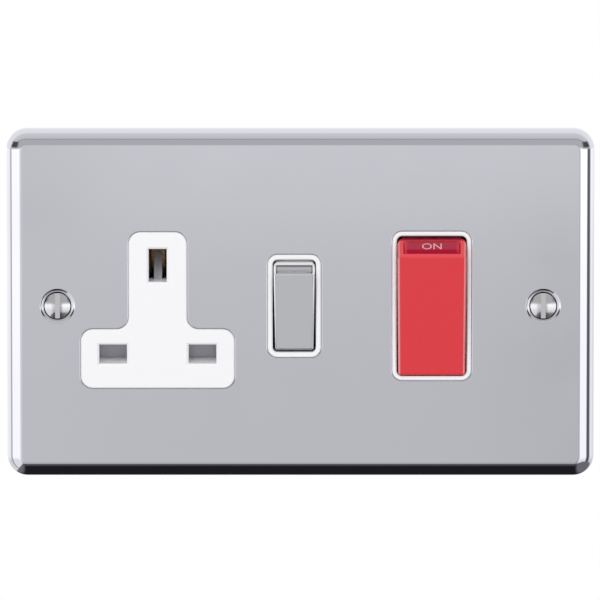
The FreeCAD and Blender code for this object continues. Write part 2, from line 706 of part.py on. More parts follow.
def contact_arm(name, x):
    body = new_body(name, x, "arm_y", "0", "0 - arm_tilt")
    half = "arm_steel / 2"
    low = "0 - arm_reach + arm_end / 2"
    high = "arm_reach + arm_end"
    side = [(f"0 - {half}", low), (half, low), (half, high), (f"0 - {half}", high)]
    pad(body, "blade", "X", [side], "0 - arm_width / 2", "arm_width / 2")
    pad(body, "button", "Y", [circle("0", "arm_reach", "button_radius")], "0", f"{half} + button_height")
    pad(body, "ears", "X", [circle("0", "0", "arm_pin")], "0 - arm_ears", "arm_ears")
    return body


def add_cradle(body, x):
    """Two notched cheeks that stand on a strip and carry an arm's ears."""
    notch = "arm_pin + pivot_fit"
    front = "arm_y - arm_pin - 0.4"
    middle = f"arm_y + {notch}"
    cheek = [("strip_back", "0 - cheek_height"), ("strip_back", "cheek_height"), (front, "cheek_height"),
             (front, notch), ("arm_y", notch, notch, RIGHT), (middle, "0", notch, RIGHT),
             ("arm_y", f"0 - ({notch})"), (front, f"0 - ({notch})"), (front, "0 - cheek_height")]
    for side, name in ((-1, "left"), (1, "right")):
        near = f"{x} + {side} * (arm_width / 2 + cheek_gap)"
        far = f"{x} + {side} * arm_ears"
        start, end = (near, far) if side > 0 else (far, near)
        pad(body, f"{name}_cheek", "X", [cheek], start, end)


def strip(body, name, outlines):
    pad(body, name, "Y", outlines, "strip_front", "strip_back")


def add_button(body, x, z):
    pad(body, "button", "Y", [circle(x, z, "button_radius")], "strip_front - button_height", "strip_back")


def supply_strip(name, x):
    body = new_body(name)
    left, right = f"{x} - strip_width / 2", f"{x} + strip_width / 2"
    end, shoulder = "0 - terminal_inner - strip_lap", "0 - cheek_height - strip_steel"
    strip(body, "strip", [rounded([
        (left, end, "strip_corner"), (right, end, "strip_corner"), (right, shoulder, "inner_corner"),
        (f"{x} + arm_ears", shoulder, "inner_corner"), (f"{x} + arm_ears", "cheek_height", "inner_corner"),
        (f"{x} - arm_ears", "cheek_height", "inner_corner"), (f"{x} - arm_ears", shoulder, "inner_corner"),
        (left, shoulder, "inner_corner")])])
    add_cradle(body, x)
    return body


def load_strip(name, x):
    body = new_body(name)
    left, right = f"{x} - strip_width / 2", f"{x} + strip_width / 2"
    low, high = "arm_reach - button_radius - button_margin", "terminal_inner + strip_lap"
    strip(body, "strip", [rounded([(u, v, "strip_corner") for u, v in corners_of(left, right, low, high)])])
    add_button(body, x, "arm_reach")
    return body


def terminal(name, x, side):
    """A brass block with a bore for the cable along Z and a tapped hole at its back."""
    body = new_body(name)
    low, high = ("terminal_inner", "terminal_outer") if side > 0 else ("0 - terminal_outer", "0 - terminal_inner")
    block = corners_of(f"{x} - terminal_width / 2", f"{x} + terminal_width / 2", "strip_back", "floor_front")
    pad(body, "block", "Z", [block], low, high)
    length = value("terminal_length")
    ease(body, "Chamfer", "block_edges", "block_edge", lambda edge: abs(edge.BoundBox.ZLength - length) < 1e-4)
    pocket(body, "cable_bore", "Z", [circle(x, "cable_y", "cable_radius")], low, high)
    pocket(body, "clamp_thread", "Y", [circle(x, f"{side} * terminal_middle", "clamp_radius + clamp_fit")],
           "cable_y", "floor_front")
    return body


def socket_feed_bar():
    body = new_body("socket_feed_bar")
    left, right = "socket_x - strip_width / 2", "socket_x + strip_width / 2"
    end = "cooker_x - pole_offset - strip_width / 2 - strip_apart"
    low, high, shoulder = "0 - terminal_inner - 2", "1 - terminal_inner", "0 - cheek_height - strip_steel"
    strip(body, "bar", [rounded([
        (left, low, "feed_corner"), (end, low, "inner_corner"), (end, high, "inner_corner"),
        (right, high, "strip_corner"), (right, shoulder, "inner_corner"),
        ("socket_x + arm_ears", shoulder, "inner_corner"), ("socket_x + arm_ears", "cheek_height", "inner_corner"),
        ("socket_x - arm_ears", "cheek_height", "inner_corner"), ("socket_x - arm_ears", shoulder, "inner_corner"),
        (left, shoulder, "inner_corner")])])
    add_cradle(body, "socket_x")
    return body


# Socket contacts

def leaf_profile(middle, pin, front, side):
    """One sprung leaf in section: flared mouth, pinched waist, straight root."""
    root = f"{middle} + {side} * ({pin} / 2)"
    waist = f"{middle} + {side} * ({pin} / 2 - leaf_pinch)"
    mouth = f"{middle} + {side} * ({pin} / 2 - leaf_pinch + leaf_flare)"
    thick = f"{side} * leaf_steel"
    return [("strip_back", root), (f"{front} + 3", waist), (front, mouth), (front, f"{mouth} + {thick}"),
            (f"{front} + 3", f"{waist} + {thick}"), ("strip_back", f"{root} + {thick}")]


def live_contact(name, x):
    body = new_body(name)
    half = "live_pin / 2 + leaf_steel"
    left, right = f"{x} - contact_half", f"{x} + contact_half"
    strip(body, "base", [corners_of(left, right, f"live_z - ({half})", f"live_z + {half}")])
    for side, word in ((-1, "lower"), (1, "upper")):
        pad(body, f"{word}_leaf", "X", [leaf_profile("live_z", "live_pin", "live_contact_front", side)],
            left, right)
    return body


def line_contact():
    body = live_contact("line_contact", "line_pin_x")
    start, end = "line_pin_x + contact_half - 1", "socket_x + strip_width / 2"
    left, right = "socket_x - 1.5 * strip_width - lead_apart", "socket_x - strip_width / 2 - lead_apart"
    low, high = "live_z - strip_width / 2", "live_z + strip_width / 2"
    under, over = "arm_reach - strip_width / 2", "arm_reach + strip_width / 2"
    strip(body, "lead", [rounded([
        (start, low, "inner_corner"), (right, low, "lead_corner"), (right, under, "inner_corner"),
        (end, under, "strip_corner"), (end, over, "strip_corner"), (left, over, "lead_corner"),
        (left, high, "inner_corner"), (start, high, "inner_corner")])])
    add_button(body, "socket_x", "arm_reach")
    return body


def neutral_contact():
    body = live_contact("neutral_contact", "neutral_pin_x")
    strip(body, "tail", [corners_of("neutral_pin_x - contact_half / 3", "neutral_pin_x + contact_half",
                                    "link_z - link_width / 2", "live_z")])
    return body


def neutral_link_bar():
    body = new_body("neutral_link_bar")
    start, end = "(neutral_pin_x + 1)", "(cooker_x + terminal_offset)"
    low, high = "link_z - link_width / 2", "link_z + link_width / 2"
    pad(body, "bar", "Y", [box(f"({start} + {end}) / 2", "link_z", f"{end} - {start} + 4", "link_width", "0.6")],
        "link_front", "link_back")
    pad(body, "contact_foot", "Y", [corners_of(f"{start} - 1.5", f"{start} + 1.5", low, high)],
        "link_front", "strip_front")
    pad(body, "terminal_foot", "Y", [corners_of(f"{end} - 1.5", f"{end} + 1.5", low, high)],
        "link_front", "strip_back")
    return body


def earth_contact():
    body = new_body("earth_contact")
    half = "(earth_pin / 2 + leaf_steel)"
    high = "(earth_hole_height / 2 - 0.9)"
    base = [(f"insert_x - {half}", f"earth_height - {high}", "0.3"),
            (f"insert_x + {half}", f"earth_height - {high}", "0.3"),
            (f"insert_x + {half}", "terminal_inner + 2", "strip_corner"),
            ("earth_x + 4", "terminal_inner + 2", "strip_corner"),
            ("earth_x + 4", "terminal_inner + 5.5", "strip_corner"),
            (f"insert_x - {half}", "terminal_inner + 5.5", "strip_corner")]
    strip(body, "base", [rounded(base)])
    for side, word in ((-1, "left"), (1, "right")):
        profile = leaf_profile("insert_x", "earth_pin", "earth_contact_front", side)
        pad(body, f"{word}_leaf", "Z", [[(v, u) for u, v in profile]],
            f"earth_height - {high}", f"earth_height + {high}")
    return body


def plate_earth_strap():
    body = new_body("plate_earth_strap")
    low, high = "stud_height", "stud_height + leaf_steel"
    foot, top = "stud_height - strap_foot", "stud_height + strap_tab"
    side = [("plate_inner", low), ("strip_front", low), ("strip_front", foot), ("strip_back", foot),
            ("strip_back", high), ("plate_inner + leaf_steel", high), ("plate_inner + leaf_steel", top),
            ("plate_inner", top)]
    pad(body, "strap", "X", [side], "earth_x - strap_half", "earth_x + strap_half")
    return body


# Shutter

def shutter():
    body = new_body("shutter")
    stem = "shutter_stem / 2"
    top = "(earth_height - earth_hole_height / 2 - 0.2)"
    pad(body, "blade", "Y", [rounded([
        ("insert_x - blade_half", "blade_bottom", "0.8"), ("insert_x + blade_half", "blade_bottom", "0.8"),
        ("insert_x + blade_half", "blade_top", "0.8"), (f"insert_x + {stem}", "blade_top", "0.8"),
        (f"insert_x + {stem}", top, "0.5"), (f"insert_x - {stem}", top, "0.5"),
        (f"insert_x - {stem}", "blade_top", "0.8"), ("insert_x - blade_half", "blade_top", "0.8")])],
        "blade_front", "blade_back")
    rise = "(shutter_travel + 0.3)"
    back = f"ramp_front + {rise} / tan(ramp_slope)"
    wedge = [("ramp_front", f"{top} - 3"), (back, f"{top} - 3"), (back, f"{top} + {rise}"), ("ramp_front", top)]
    pad(body, "ramp", "X", [wedge], "insert_x - ramp_width / 2", "insert_x + ramp_width / 2")
    pad(body, "peg", "Z", [circle("insert_x", "blade_front + blade_steel / 2", "peg_radius")],
        "blade_bottom - peg_length", "blade_bottom + 0.5")
    return body


# Rear housing

TERMINALS = {
    "line_in_terminal": ("cooker_x - terminal_offset", -1),
    "neutral_in_terminal": ("cooker_x + terminal_offset", -1),
    "line_out_terminal": ("cooker_x - terminal_offset", 1),
    "neutral_out_terminal": ("cooker_x + terminal_offset", 1),
    "earth_terminal": ("earth_x", 1),
}


def rear_housing():
    body = new_body("rear_housing")
    pad(body, "block", "Y", [box("0", "0", "housing_width", "housing_height", "housing_corner")],
        "base_back", "housing_back")
    ease(body, "Chamfer", "back_edge", "1", lambda edge: lies_at(edge, value("housing_back")))
    pocket(body, "inside", "Y", [box("0", "0", "housing_width - 2 * housing_wall", "inner_height",
                                     "housing_corner - 1.5")], "base_back", "floor_front")
    pad(body, "pillars", "Y", [circle(x, z, "pillar_radius") for x, z in PILLARS], "pillar_front", "floor_front")
    seats = [box("line_pin_x", "live_z", "8", "8"), box("neutral_pin_x", "live_z", "8", "8"),
             box("insert_x", "earth_height", "8", "9")]
    for x in ("socket_x", cooker_line, cooker_neutral):
        seats.append(box(x, "0", "2 * (arm_ears - seat_inset)", "2 * cheek_height"))
        seats.append(box(x, "arm_reach", "strip_width - seat_inset", "strip_width - 2 * seat_inset"))
    pad(body, "contact_seats", "Y", seats, "strip_back", "floor_front")
    reach = "pillar_front + pillar_floor"
    pocket(body, "screw_wells", "Y", [circle(x, z, "screw_head + screw_clearance") for x, z in PILLARS],
           reach, "housing_back")
    pocket(body, "screw_holes", "Y", [circle(x, z, "screw_radius + screw_clearance / 2") for x, z in PILLARS],
           "pillar_front", reach)
    pocket(body, "clamp_holes", "Y", [circle(x, f"{side} * terminal_middle", "clamp_hole")
                                      for x, side in TERMINALS.values()], "floor_front", "housing_back")
    for side, name, low, high in ((1, "top", "inner_height / 2 - 0.5", "housing_height / 2"),
                                  (-1, "bottom", "0 - housing_height / 2", "0.5 - inner_height / 2")):
        entries = [circle(x, "cable_y", "entry_radius") for x, where in TERMINALS.values() if where == side]
        pocket(body, f"{name}_entries", "Z", entries, low, high)
    return body


# Fasteners

def group(label, screws):
    """Identical fasteners are one sub-part of separate solids."""
    compound = doc.addObject("Part::Compound", label)
    compound.Label = label
    compound.Links = screws
    doc.recompute()
    return compound


def fixing_screw(name, x):
    body = new_body(name, x)
    seat = "dish_depth - plate_depth + 0.05"
    top = f"{seat} - fixing_dome"
    revolve(body, "turned", [
        ("0", top), ("fixing_head * dome_share", f"{top} + dome_drop"), ("fixing_head", seat),
        ("fixing_neck", f"{seat} + fixing_head - fixing_neck"), ("fixing_neck", "plate_inner + 2.2"),
        ("fixing_thread", "plate_inner + 2.45"), ("fixing_thread", "fixing_length - plate_depth"),
        ("0", "fixing_length - plate_depth")])
    pocket(body, "slot", "Y", [box("0", "0", "fixing_slot", "2 * fixing_head + 1")],
           f"{top} - 0.2", f"{top} + fixing_slot_depth")
    return body


def clamp_screw(name, x, z):
    body = new_body(name, x, "0", z)
    start, end = "cable_y + cable_radius + 0.2", "housing_back"
    pad(body, "shank", "Y", [circle("0", "0", "clamp_radius")], start, end)
    pocket(body, "slot", "Y", [box("0", "0", "slot_width", "2 * clamp_radius + 1")], f"{end} - slot_depth", end)
    return body


def housing_screw(name, x, z):
    body = new_body(name, x, "0", z)
    seat = "pillar_front + pillar_floor"
    revolve(body, "turned", [
        ("0", "plate_inner + 1.4"), ("screw_radius", "plate_inner + 2.6"), ("screw_radius", seat),
        ("screw_head", seat), ("screw_head", f"{seat} + screw_head_height"), ("0", f"{seat} + screw_head_height")])
    pocket(body, "slot", "Y", [box("0", "0", "slot_width", "2 * screw_head + 1")],
           f"{seat} + screw_head_height - slot_depth", f"{seat} + screw_head_height")
    return body


def plate_clip(name, x, z):
    body = new_body(name, x, "0", z)
    pad(body, "washer", "Y", [circle("0", "0", "clip_radius"), circle("0", "0", "stud_radius + 0.03")],
        "base_back", "base_back + clip_steel")
    return body


# Assembly

spring_top = "0 - bore_above_pivot"
spring_length = "plunger_reach - plunger_length + bore_above_pivot"
parts = [front_plate(), front_moulding(), rear_housing()]
parts += [rocker("cooker", ("0 - pole_offset", "pole_offset")), legend_lens(), rocker("socket", ("0",))]
for word, place in (("cooker_line", cooker_line), ("cooker_neutral", cooker_neutral), ("socket", "socket_x")):
    parts.append(plunger(f"{word}_plunger", place))
    parts.append(coil(f"{word}_spring", place, "pivot_y - bore_above_pivot * cos(rocker_tilt)",
                      "0 - bore_above_pivot * sin(rocker_tilt)", spring_length, 3, "rocker_tilt"))
    parts.append(contact_arm(f"{word}_arm", place))
parts += [supply_strip("line_in_strip", cooker_line), supply_strip("neutral_in_strip", cooker_neutral)]
parts += [load_strip("line_out_strip", cooker_line), load_strip("neutral_out_strip", cooker_neutral)]
parts += [terminal(name, x, side) for name, (x, side) in TERMINALS.items()]
parts += [socket_feed_bar(), line_contact(), neutral_contact(), neutral_link_bar()]
parts += [earth_contact(), plate_earth_strap(), shutter()]
parts.append(coil("shutter_spring", "insert_x", "blade_front + blade_steel / 2", "seat_z",
                  "blade_bottom - seat_z", 4, upright=True))
parts.append(group("fixing_screws", [fixing_screw(f"fixing_screw_{side}", f"{sign} * fixing_centres / 2")
                                     for side, sign in (("left", -1), ("right", 1))]))
parts.append(group("terminal_screws", [clamp_screw(f"{name}_screw", x, f"{side} * terminal_middle")
                                       for name, (x, side) in TERMINALS.items()]))
parts.append(group("housing_screws", [housing_screw(f"housing_screw_{number}", x, z)
                                      for number, (x, z) in enumerate(PILLARS, start=1)]))
parts.append(group("plate_clips", [plate_clip(f"plate_clip_{number}", x, z)
                                   for number, (x, z) in enumerate(STUDS, start=1)]))
doc.recompute()

# Checks and export

for thing in doc.Objects:
    if any(word in thing.State for word in ("Invalid", "Error")):
        raise RuntimeError(f"{thing.Label} failed: {thing.State}")
for part in parts:
    if part.Shape.isNull() or not part.Shape.isValid() or not part.Shape.Solids:
        raise RuntimeError(f"{part.Label} is not a valid solid")

os.makedirs("parts", exist_ok=True)
for part in parts:
    part.Shape.exportStep(f"parts/{part.Label}.step")
    print(part.Label, len(part.Shape.Solids), round(part.Shape.Volume, 2))
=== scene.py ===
import bpy
import bmesh
import itertools
import json
import math
from mathutils import Matrix, Vector


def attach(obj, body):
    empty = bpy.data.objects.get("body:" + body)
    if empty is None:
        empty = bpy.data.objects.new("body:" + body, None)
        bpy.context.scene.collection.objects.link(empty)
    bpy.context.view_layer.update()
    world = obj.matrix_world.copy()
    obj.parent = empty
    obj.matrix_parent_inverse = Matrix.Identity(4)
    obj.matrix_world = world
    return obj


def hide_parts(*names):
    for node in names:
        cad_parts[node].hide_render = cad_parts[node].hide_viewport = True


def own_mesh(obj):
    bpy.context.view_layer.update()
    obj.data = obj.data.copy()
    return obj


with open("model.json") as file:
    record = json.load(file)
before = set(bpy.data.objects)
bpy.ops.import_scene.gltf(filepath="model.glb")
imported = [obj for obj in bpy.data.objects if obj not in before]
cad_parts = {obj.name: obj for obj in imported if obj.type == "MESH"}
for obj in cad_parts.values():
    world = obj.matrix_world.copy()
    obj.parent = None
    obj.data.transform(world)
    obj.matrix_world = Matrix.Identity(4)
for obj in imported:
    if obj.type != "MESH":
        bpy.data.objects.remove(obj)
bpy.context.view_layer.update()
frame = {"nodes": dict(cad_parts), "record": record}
MM = 0.001
TAU = 2 * math.pi


# Shader maths

class Tree:
    """Adds nodes to one node tree."""

    def __init__(self, tree):
        self.tree = tree
        tree.nodes.clear()

    def node(self, kind, settings=None, inputs=None):
        made = self.tree.nodes.new(kind)
        for name, setting in (settings or {}).items():
            if name == "stops":
                ramp = made.color_ramp
                while len(ramp.elements) < len(setting):
                    ramp.elements.new(0.5)
                for element, (place, level) in zip(ramp.elements, setting):
                    element.position = place
                    element.color = (level, level, level, 1)
            else:
                setattr(made, name, setting)
        for name, given in (inputs or {}).items():
            self.plug(made.inputs[name], given)
        return made

    def plug(self, socket, given):
        if isinstance(given, Value):
            self.tree.links.new(given.socket, socket)
        elif isinstance(given, bpy.types.NodeSocket):
            self.tree.links.new(given, socket)
        elif hasattr(given, "__len__") and len(given) == 3 and socket.type == "RGBA":
            socket.default_value = (*given, 1)
        else:
            socket.default_value = given

    def value(self, kind, settings=None, inputs=None, output=0):
        return Value(self, self.node(kind, settings, inputs).outputs[output])

    def mix(self, factor, first, second):
        """The first colour where factor is 0, the second where it is 1."""
        made = self.node("ShaderNodeMix", {"data_type": "RGBA"})
        for number, given in ((0, factor), (6, first), (7, second)):
            self.plug(made.inputs[number], given)
        return Value(self, made.outputs[2])


class Value:
    """A number in the tree; its operators add Math nodes."""

    def __init__(self, tree, socket):
        self.tree = tree
        self.socket = socket

    def math(self, operation, other=None, swap=False):
        made = self.tree.node("ShaderNodeMath", {"operation": operation})
        for socket, number in zip(made.inputs, [other, self] if swap else [self, other]):
            if number is not None:
                self.tree.plug(socket, number)
        return Value(self.tree, made.outputs[0])

    def __add__(self, other):
        return self.math("ADD", other)

    def __sub__(self, other):
        return self.math("SUBTRACT", other)

    def __rsub__(self, other):
        return self.math("SUBTRACT", other, swap=True)

    def __mul__(self, other):
        return self.math("MULTIPLY", other)

    def __truediv__(self, other):
        return self.math("DIVIDE", other)

    def __neg__(self):
        return self * -1

    __radd__ = __add__
    __rmul__ = __mul__

    def step(self, low, high):
        """0 below low, 1 above high, smooth between."""
        made = self.tree.node("ShaderNodeMapRange", {"interpolation_type": "SMOOTHSTEP"},
                              {"Value": self, "From Min": low, "From Max": high})
        return Value(self.tree, made.outputs[0])

    def band(self, low, high, soft):
        """1 between low and high, 0 outside, with soft ends."""
        return self.step(low - soft, low + soft) * (1 - self.step(high - soft, high + soft))

    def axes(self):
        """The three parts of a vector."""
        made = self.tree.node("ShaderNodeSeparateXYZ", None, {0: self})
        return [Value(self.tree, output) for output in made.outputs]


# Sizes in millimetres

# The plate's middle in x and z, width, height and corner radius
PLATE = (0.0, 0.5, 146.0, 87.0, 5.2)
PLATE_FRONT, PLATE_INNER, ROLL, SHEET_STEEL = -5.0, -3.8, 4.0, 1.2
SCREW_X, DISH_RADIUS, SCREW_HOLE = 60.3, 4.4, 2.1
INSERT_X, SOCKET_X, COOKER_X = -35.42, -1.52, 32.6
# The insert's half width, half width of its stem, bottom, shoulder, top and corner radius
INSERT = (19.1, 7.25, -20.6, -5.8, 18.5, 3.0)
SOCKET_FRAME, COOKER_FRAME, FRAME_CORNER = (13.25, 25.7), (19.6, 37.3), 2.5
# Gap between the plate and the moulding that stands in it
GAP = 0.09


# Materials

def material(name, colour, roughness, metallic=0.0, coat=0.0, bump=None, extra=None, shine=0.5):
    """A Principled material; bump is (scale per metre, strength, distance)."""
    made = bpy.data.materials.new(name)
    made.use_nodes = True
    tree = Tree(made.node_tree)
    shader = tree.node("ShaderNodeBsdfPrincipled", None, {
        "Base Color": colour, "Roughness": roughness, "Metallic": metallic, "Coat Weight": coat,
        "Coat Roughness": 0.06, "Specular IOR Level": shine})
    tree.node("ShaderNodeOutputMaterial", None, {"Surface": shader.outputs[0]})
    place = tree.value("ShaderNodeTexCoord", output=3)
    if bump:
        scale, strength, distance = bump
        grain = tree.value("ShaderNodeTexNoise", None, {"Vector": place, "Scale": scale, "Detail": 4.0})
        raised = tree.value("ShaderNodeBump", None, {
            "Height": grain, "Strength": strength, "Distance": distance})
        tree.plug(shader.inputs["Normal"], raised)
    if extra:
        extra(tree, shader, place)
    return made


def worn(low, high, scale):
    """Roughness that drifts between two values over the surface."""
    def paint(tree, shader, place):
        drift = tree.value("ShaderNodeTexNoise", None, {"Vector": place, "Scale": scale, "Detail": 3.0})
        tree.plug(shader.inputs["Roughness"], low + (high - low) * drift.step(0.35, 0.65))
    return paint


# The deeper red is painted shade for the red rocker's top end.
RED, PAINTED_SHADE_RED = (0.76, 0.032, 0.045), (0.36, 0.001, 0.022)
# The pale crimson is a painted highlight for the lens's round ends.
CRIMSON, LENS_PAINTED_HIGHLIGHT = (0.4, 0.001, 0.028), (0.66, 0.03, 0.06)
BRIGHT_CHROME, WHITE = (0.95, 0.96, 1.0), (1.0, 1.0, 1.0)


def past_ridge(y, z, ridge, way):
    """How far a point of a rocker lies beyond the ridge, measured along a direction in the YZ plane."""
    return (y - ridge[0]) * way[0] + (z - ridge[1]) * way[1]


def red_gloss(tree, shader, place):
    """Glossy on the bevel and most of all on the round side edges, with a deeper red painted on as shade
    over the rocker's top end beyond the lens.
    """
    rocker_top, narrowing = 0.01725, 0.00725
    face_coat, bevel_coat, bevel_start = 0.022, 0.15, (0.0126, 0.013)
    edge_start, lens_end = (0.0079, 0.0081), (0.00528, 0.00545)
    x, y, z = place.axes()
    beside = (x - COOKER_X * MM).math("ABSOLUTE") + (rocker_top - z) * narrowing
    flats = face_coat + bevel_coat * z.step(*bevel_start)
    edges = beside.step(*edge_start)
    tree.plug(shader.inputs["Coat Weight"], flats + (1 - flats) * edges)
    shader.inputs["Coat IOR"].default_value = 3.0
    # Painted shade: the base colour turns deeper red past the lens's upper end, over the rocker's top end,
    # except on the edges.
    behind = past_ridge(y, z, (-0.00916, 0.01269), (0.8829, 0.4695)).step(*lens_end) * (1 - edges)
    tree.plug(shader.inputs["Base Color"], tree.mix(behind, RED, PAINTED_SHADE_RED))


def bar_recess(tree, shader, place):
    """Chrome with a darker bar recess in the small rocker's bevel, painted shade at the recess walls, a
    lighter painted highlight band on its floor, and a painted white highlight on the rim round it.
    """
    bevel_start, recess, soft = (0.00005, 0.0002), (0.00012, 0.0033), 0.00006
    recess_end, wall_side, wall_top = (0.00445, 0.00455), (0.0041, 0.0043), (0.0028, 0.0031)
    painted_highlight_band, painted_highlight_soft, rim_painted_highlight_share = (0.0007, 0.0014), 0.0003, 0.65
    x, y, z = place.axes()
    beside = (x - SOCKET_X * MM).math("ABSOLUTE")
    along = past_ridge(y, z, (-0.007155, 0.00825), (0.7986, 0.6018))
    inside = (1 - beside.step(*recess_end)) * along.band(*recess, soft)
    # Painted shade: the recess darkens to dark grey at its ends and along its upper wall.
    bottom = (1 - beside.step(*wall_side)) * (1 - along.step(*wall_top))
    # Painted highlight: a lighter band across the recess floor near its lower edge.
    shine = tree.mix(along.band(*painted_highlight_band, painted_highlight_soft), (0.6, 0.6, 0.63), (0.85, 0.85, 0.88))
    recess_shade_and_highlight = tree.mix(bottom, (0.3, 0.3, 0.33), shine)
    # Painted highlight: the bevel round the recess turns white and partly non-metal, so the lamp lights it
    # as a white rim.
    bevel = along.step(*bevel_start)
    rim = tree.mix(bevel, BRIGHT_CHROME, WHITE)
    tree.plug(shader.inputs["Base Color"], tree.mix(inside, rim, recess_shade_and_highlight))
    tree.plug(shader.inputs["Metallic"], 1 - rim_painted_highlight_share * bevel * (1 - inside))


def lens_gloss(tree, shader, place):
    """Deep crimson with a painted highlight that makes it paler towards both round ends, under a gloss that
    covers its upper part.
    """
    x, _, z = place.axes()
    ends = (x - COOKER_X * MM).math("ABSOLUTE").step(0.0060, 0.0067)
    # Painted highlight: paler crimson towards both ends of the lens.
    tree.plug(shader.inputs["Base Color"], tree.mix(ends, CRIMSON, LENS_PAINTED_HIGHLIGHT))
    tree.plug(shader.inputs["Coat Weight"], z.step(0.0143, 0.0147))


HOUSING_BACK = max(vert.co.y for vert in frame["nodes"]["rear_housing"].data.vertices)


def ejector_marks(tree, shader, place):
    """Shallow round marks in rows on the back of the housing, over the fine grain."""
    apart_x, apart_z, mark_edge = 0.028, 0.025, (0.0025, 0.0027)
    back = (HOUSING_BACK - 0.0006, HOUSING_BACK - 0.0003)
    x, y, z = place.axes()
    across = (x + 18 * apart_x).math("MODULO", apart_x) - apart_x / 2
    up = (z + 20 * apart_z).math("MODULO", apart_z) - apart_z / 2
    distance = (across * across + up * up).math("SQRT")
    sunk = distance.step(*mark_edge) * y.step(*back)
    grain = shader.inputs["Normal"].links[0].from_socket
    marked = tree.value("ShaderNodeBump", None, {
        "Height": sunk, "Strength": 0.7, "Distance": 0.0003, "Normal": grain})
    tree.plug(shader.inputs["Normal"], marked)


FINE_GRAIN = (2500.0, 0.02, 0.00002)
chrome = material("polished_chrome", (0.757, 0.757, 0.82), 0.05, metallic=1.0,
                  extra=worn(0.035, 0.055, 60.0))
rocker_chrome = material("moulded_chrome", BRIGHT_CHROME, 0.1, metallic=1.0, extra=bar_recess)
screw_chrome = material("plated_screw", (0.74, 0.74, 0.76), 0.14, metallic=1.0,
                        extra=worn(0.11, 0.18, 300.0))
white = material("white_plastic", (0.95, 0.95, 0.965), 0.28, coat=0.2, bump=FINE_GRAIN)
housing_grey = material("housing_plastic", (0.8, 0.8, 0.79), 0.5, bump=(1800.0, 0.25, 0.00004),
                        extra=ejector_marks)
red = material("red_plastic", RED, 0.3, bump=FINE_GRAIN, extra=red_gloss)
crimson = material("crimson_lens", CRIMSON, 0.3, extra=lens_gloss, shine=0.1)
dark_grey = material("shutter_plastic", (0.52, 0.51, 0.56), 0.4, bump=(1800.0, 0.15, 0.00003))
steel = material("spring_steel", (0.55, 0.55, 0.56), 0.3, metallic=1.0, extra=worn(0.24, 0.36, 400.0))
brass = material("contact_brass", (0.72, 0.47, 0.26), 0.3, metallic=1.0, extra=worn(0.24, 0.4, 250.0))
legend_ink = material("legend_ink", (0.72, 0.42, 0.46), 0.4)
SLOTS = {
    "polished_plate": chrome, "white_moulding": white, "grey_moulding": housing_grey,
    "red_moulding": red, "crimson_lens": crimson, "chromed_moulding": rocker_chrome,
    "screw_plating": screw_chrome, "shutter_grey": dark_grey, "spring_steel": steel,
    "contact_brass": brass}
for entry in frame["record"]["subparts"]:
    data = frame["nodes"][entry["node"]].data
    data.materials.clear()
    data.materials.append(SLOTS[entry["material_slot"]])


# Mesh helpers, all in millimetres about the origin

def facing(face, verts, normals):
    """The face, turned over if it looks against its corners' normals."""
    first, second, third = (Vector(verts[index]) for index in (face[0], face[1], face[2]))
    across = (second - first).cross(third - second)
    if across.length < 1e-9:
        across = (third - second).cross(Vector(verts[face[-1]]) - third)
    towards = sum((Vector(normals[index]) for index in face), Vector())
    return list(face) if across.dot(towards) >= 0 else list(face)[::-1]


def weigh_normals(data, limit=math.radians(32)):
    """Smooths across gentle edges by area, so that broad flats stay flat beside their round edges."""
    around = [[] for _ in data.vertices]
    for face in data.polygons:
        for index in face.vertices:
            around[index].append(face)
    least = math.cos(limit)
    corners = []
    for face in data.polygons:
        for index in face.vertices:
            near = [other for other in around[index] if other.normal.dot(face.normal) > least]
            total = sum((other.normal * other.area for other in near), Vector())
            corners.append(total.normalized() if total.length > 0 else face.normal.copy())
    data.normals_split_custom_set(corners)


def outward_faces(data):
    """Turns the faces of a closed mesh outward and gives it weighted normals."""
    shell = bmesh.new()
    shell.from_mesh(data)
    bmesh.ops.remove_doubles(shell, verts=shell.verts[:], dist=1e-7)
    bmesh.ops.recalc_face_normals(shell, faces=shell.faces[:])
    shell.to_mesh(data)
    shell.free()
    data.polygons.foreach_set("use_smooth", [True] * len(data.polygons))
    weigh_normals(data)


def make_piece(name, verts, faces, body, look, replaced=(), normals=None):
    """A piece from verts in millimetres, smooth if it brings its normals and flat if not."""
    data = bpy.data.meshes.new(name)
    if normals:
        faces = [facing(face, verts, normals) for face in faces]
    data.from_pydata([[number * MM for number in vert] for vert in verts], [], faces)
    data.validate()
    data.polygons.foreach_set("use_smooth", [bool(normals)] * len(data.polygons))
    if normals:
        data.normals_split_custom_set_from_vertices(normals)
    data.materials.append(look)
    return add_piece(name, data, body, replaced)


def evaluated(maker):
    """A new mesh of an object as its modifiers or letters make it."""
    bpy.context.view_layer.update()
    return bpy.data.meshes.new_from_object(maker.evaluated_get(bpy.context.evaluated_depsgraph_get()))


def make_solid(name, verts, faces, body, slot, look, replaced):
    """A smooth piece from a closed set of faces."""
    piece = make_piece(name, verts, faces, body, look, replaced)
    outward_faces(piece.data)
    return piece


def add_piece(name, data, body, replaced=()):
    piece = bpy.data.objects.new(name, data)
    bpy.context.scene.collection.objects.link(piece)
    if replaced:
        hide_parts(*replaced)
    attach(piece, body)
    return piece


def quarter(steps):
    """Cosine and sine at even steps from 0 to 90 degrees."""
    angles = [math.pi / 2 * step / steps for step in range(steps + 1)]
    return [(math.cos(angle), math.sin(angle)) for angle in angles]


def rounded_ring(x, z, width, height, radius, steps=10):
    """Points and outward directions round a rectangle with round corners."""
    ring = []
    for corner in range(4):
        sign_x = 1 if corner in (0, 3) else -1
        sign_z = 1 if corner in (0, 1) else -1
        for step in range(steps + 1):
            angle = (corner + step / steps) * math.pi / 2
            out = (math.cos(angle), math.sin(angle))
            ring.append((x + sign_x * (width / 2 - radius) + radius * out[0],
                         z + sign_z * (height / 2 - radius) + radius * out[1], out))
    return ring


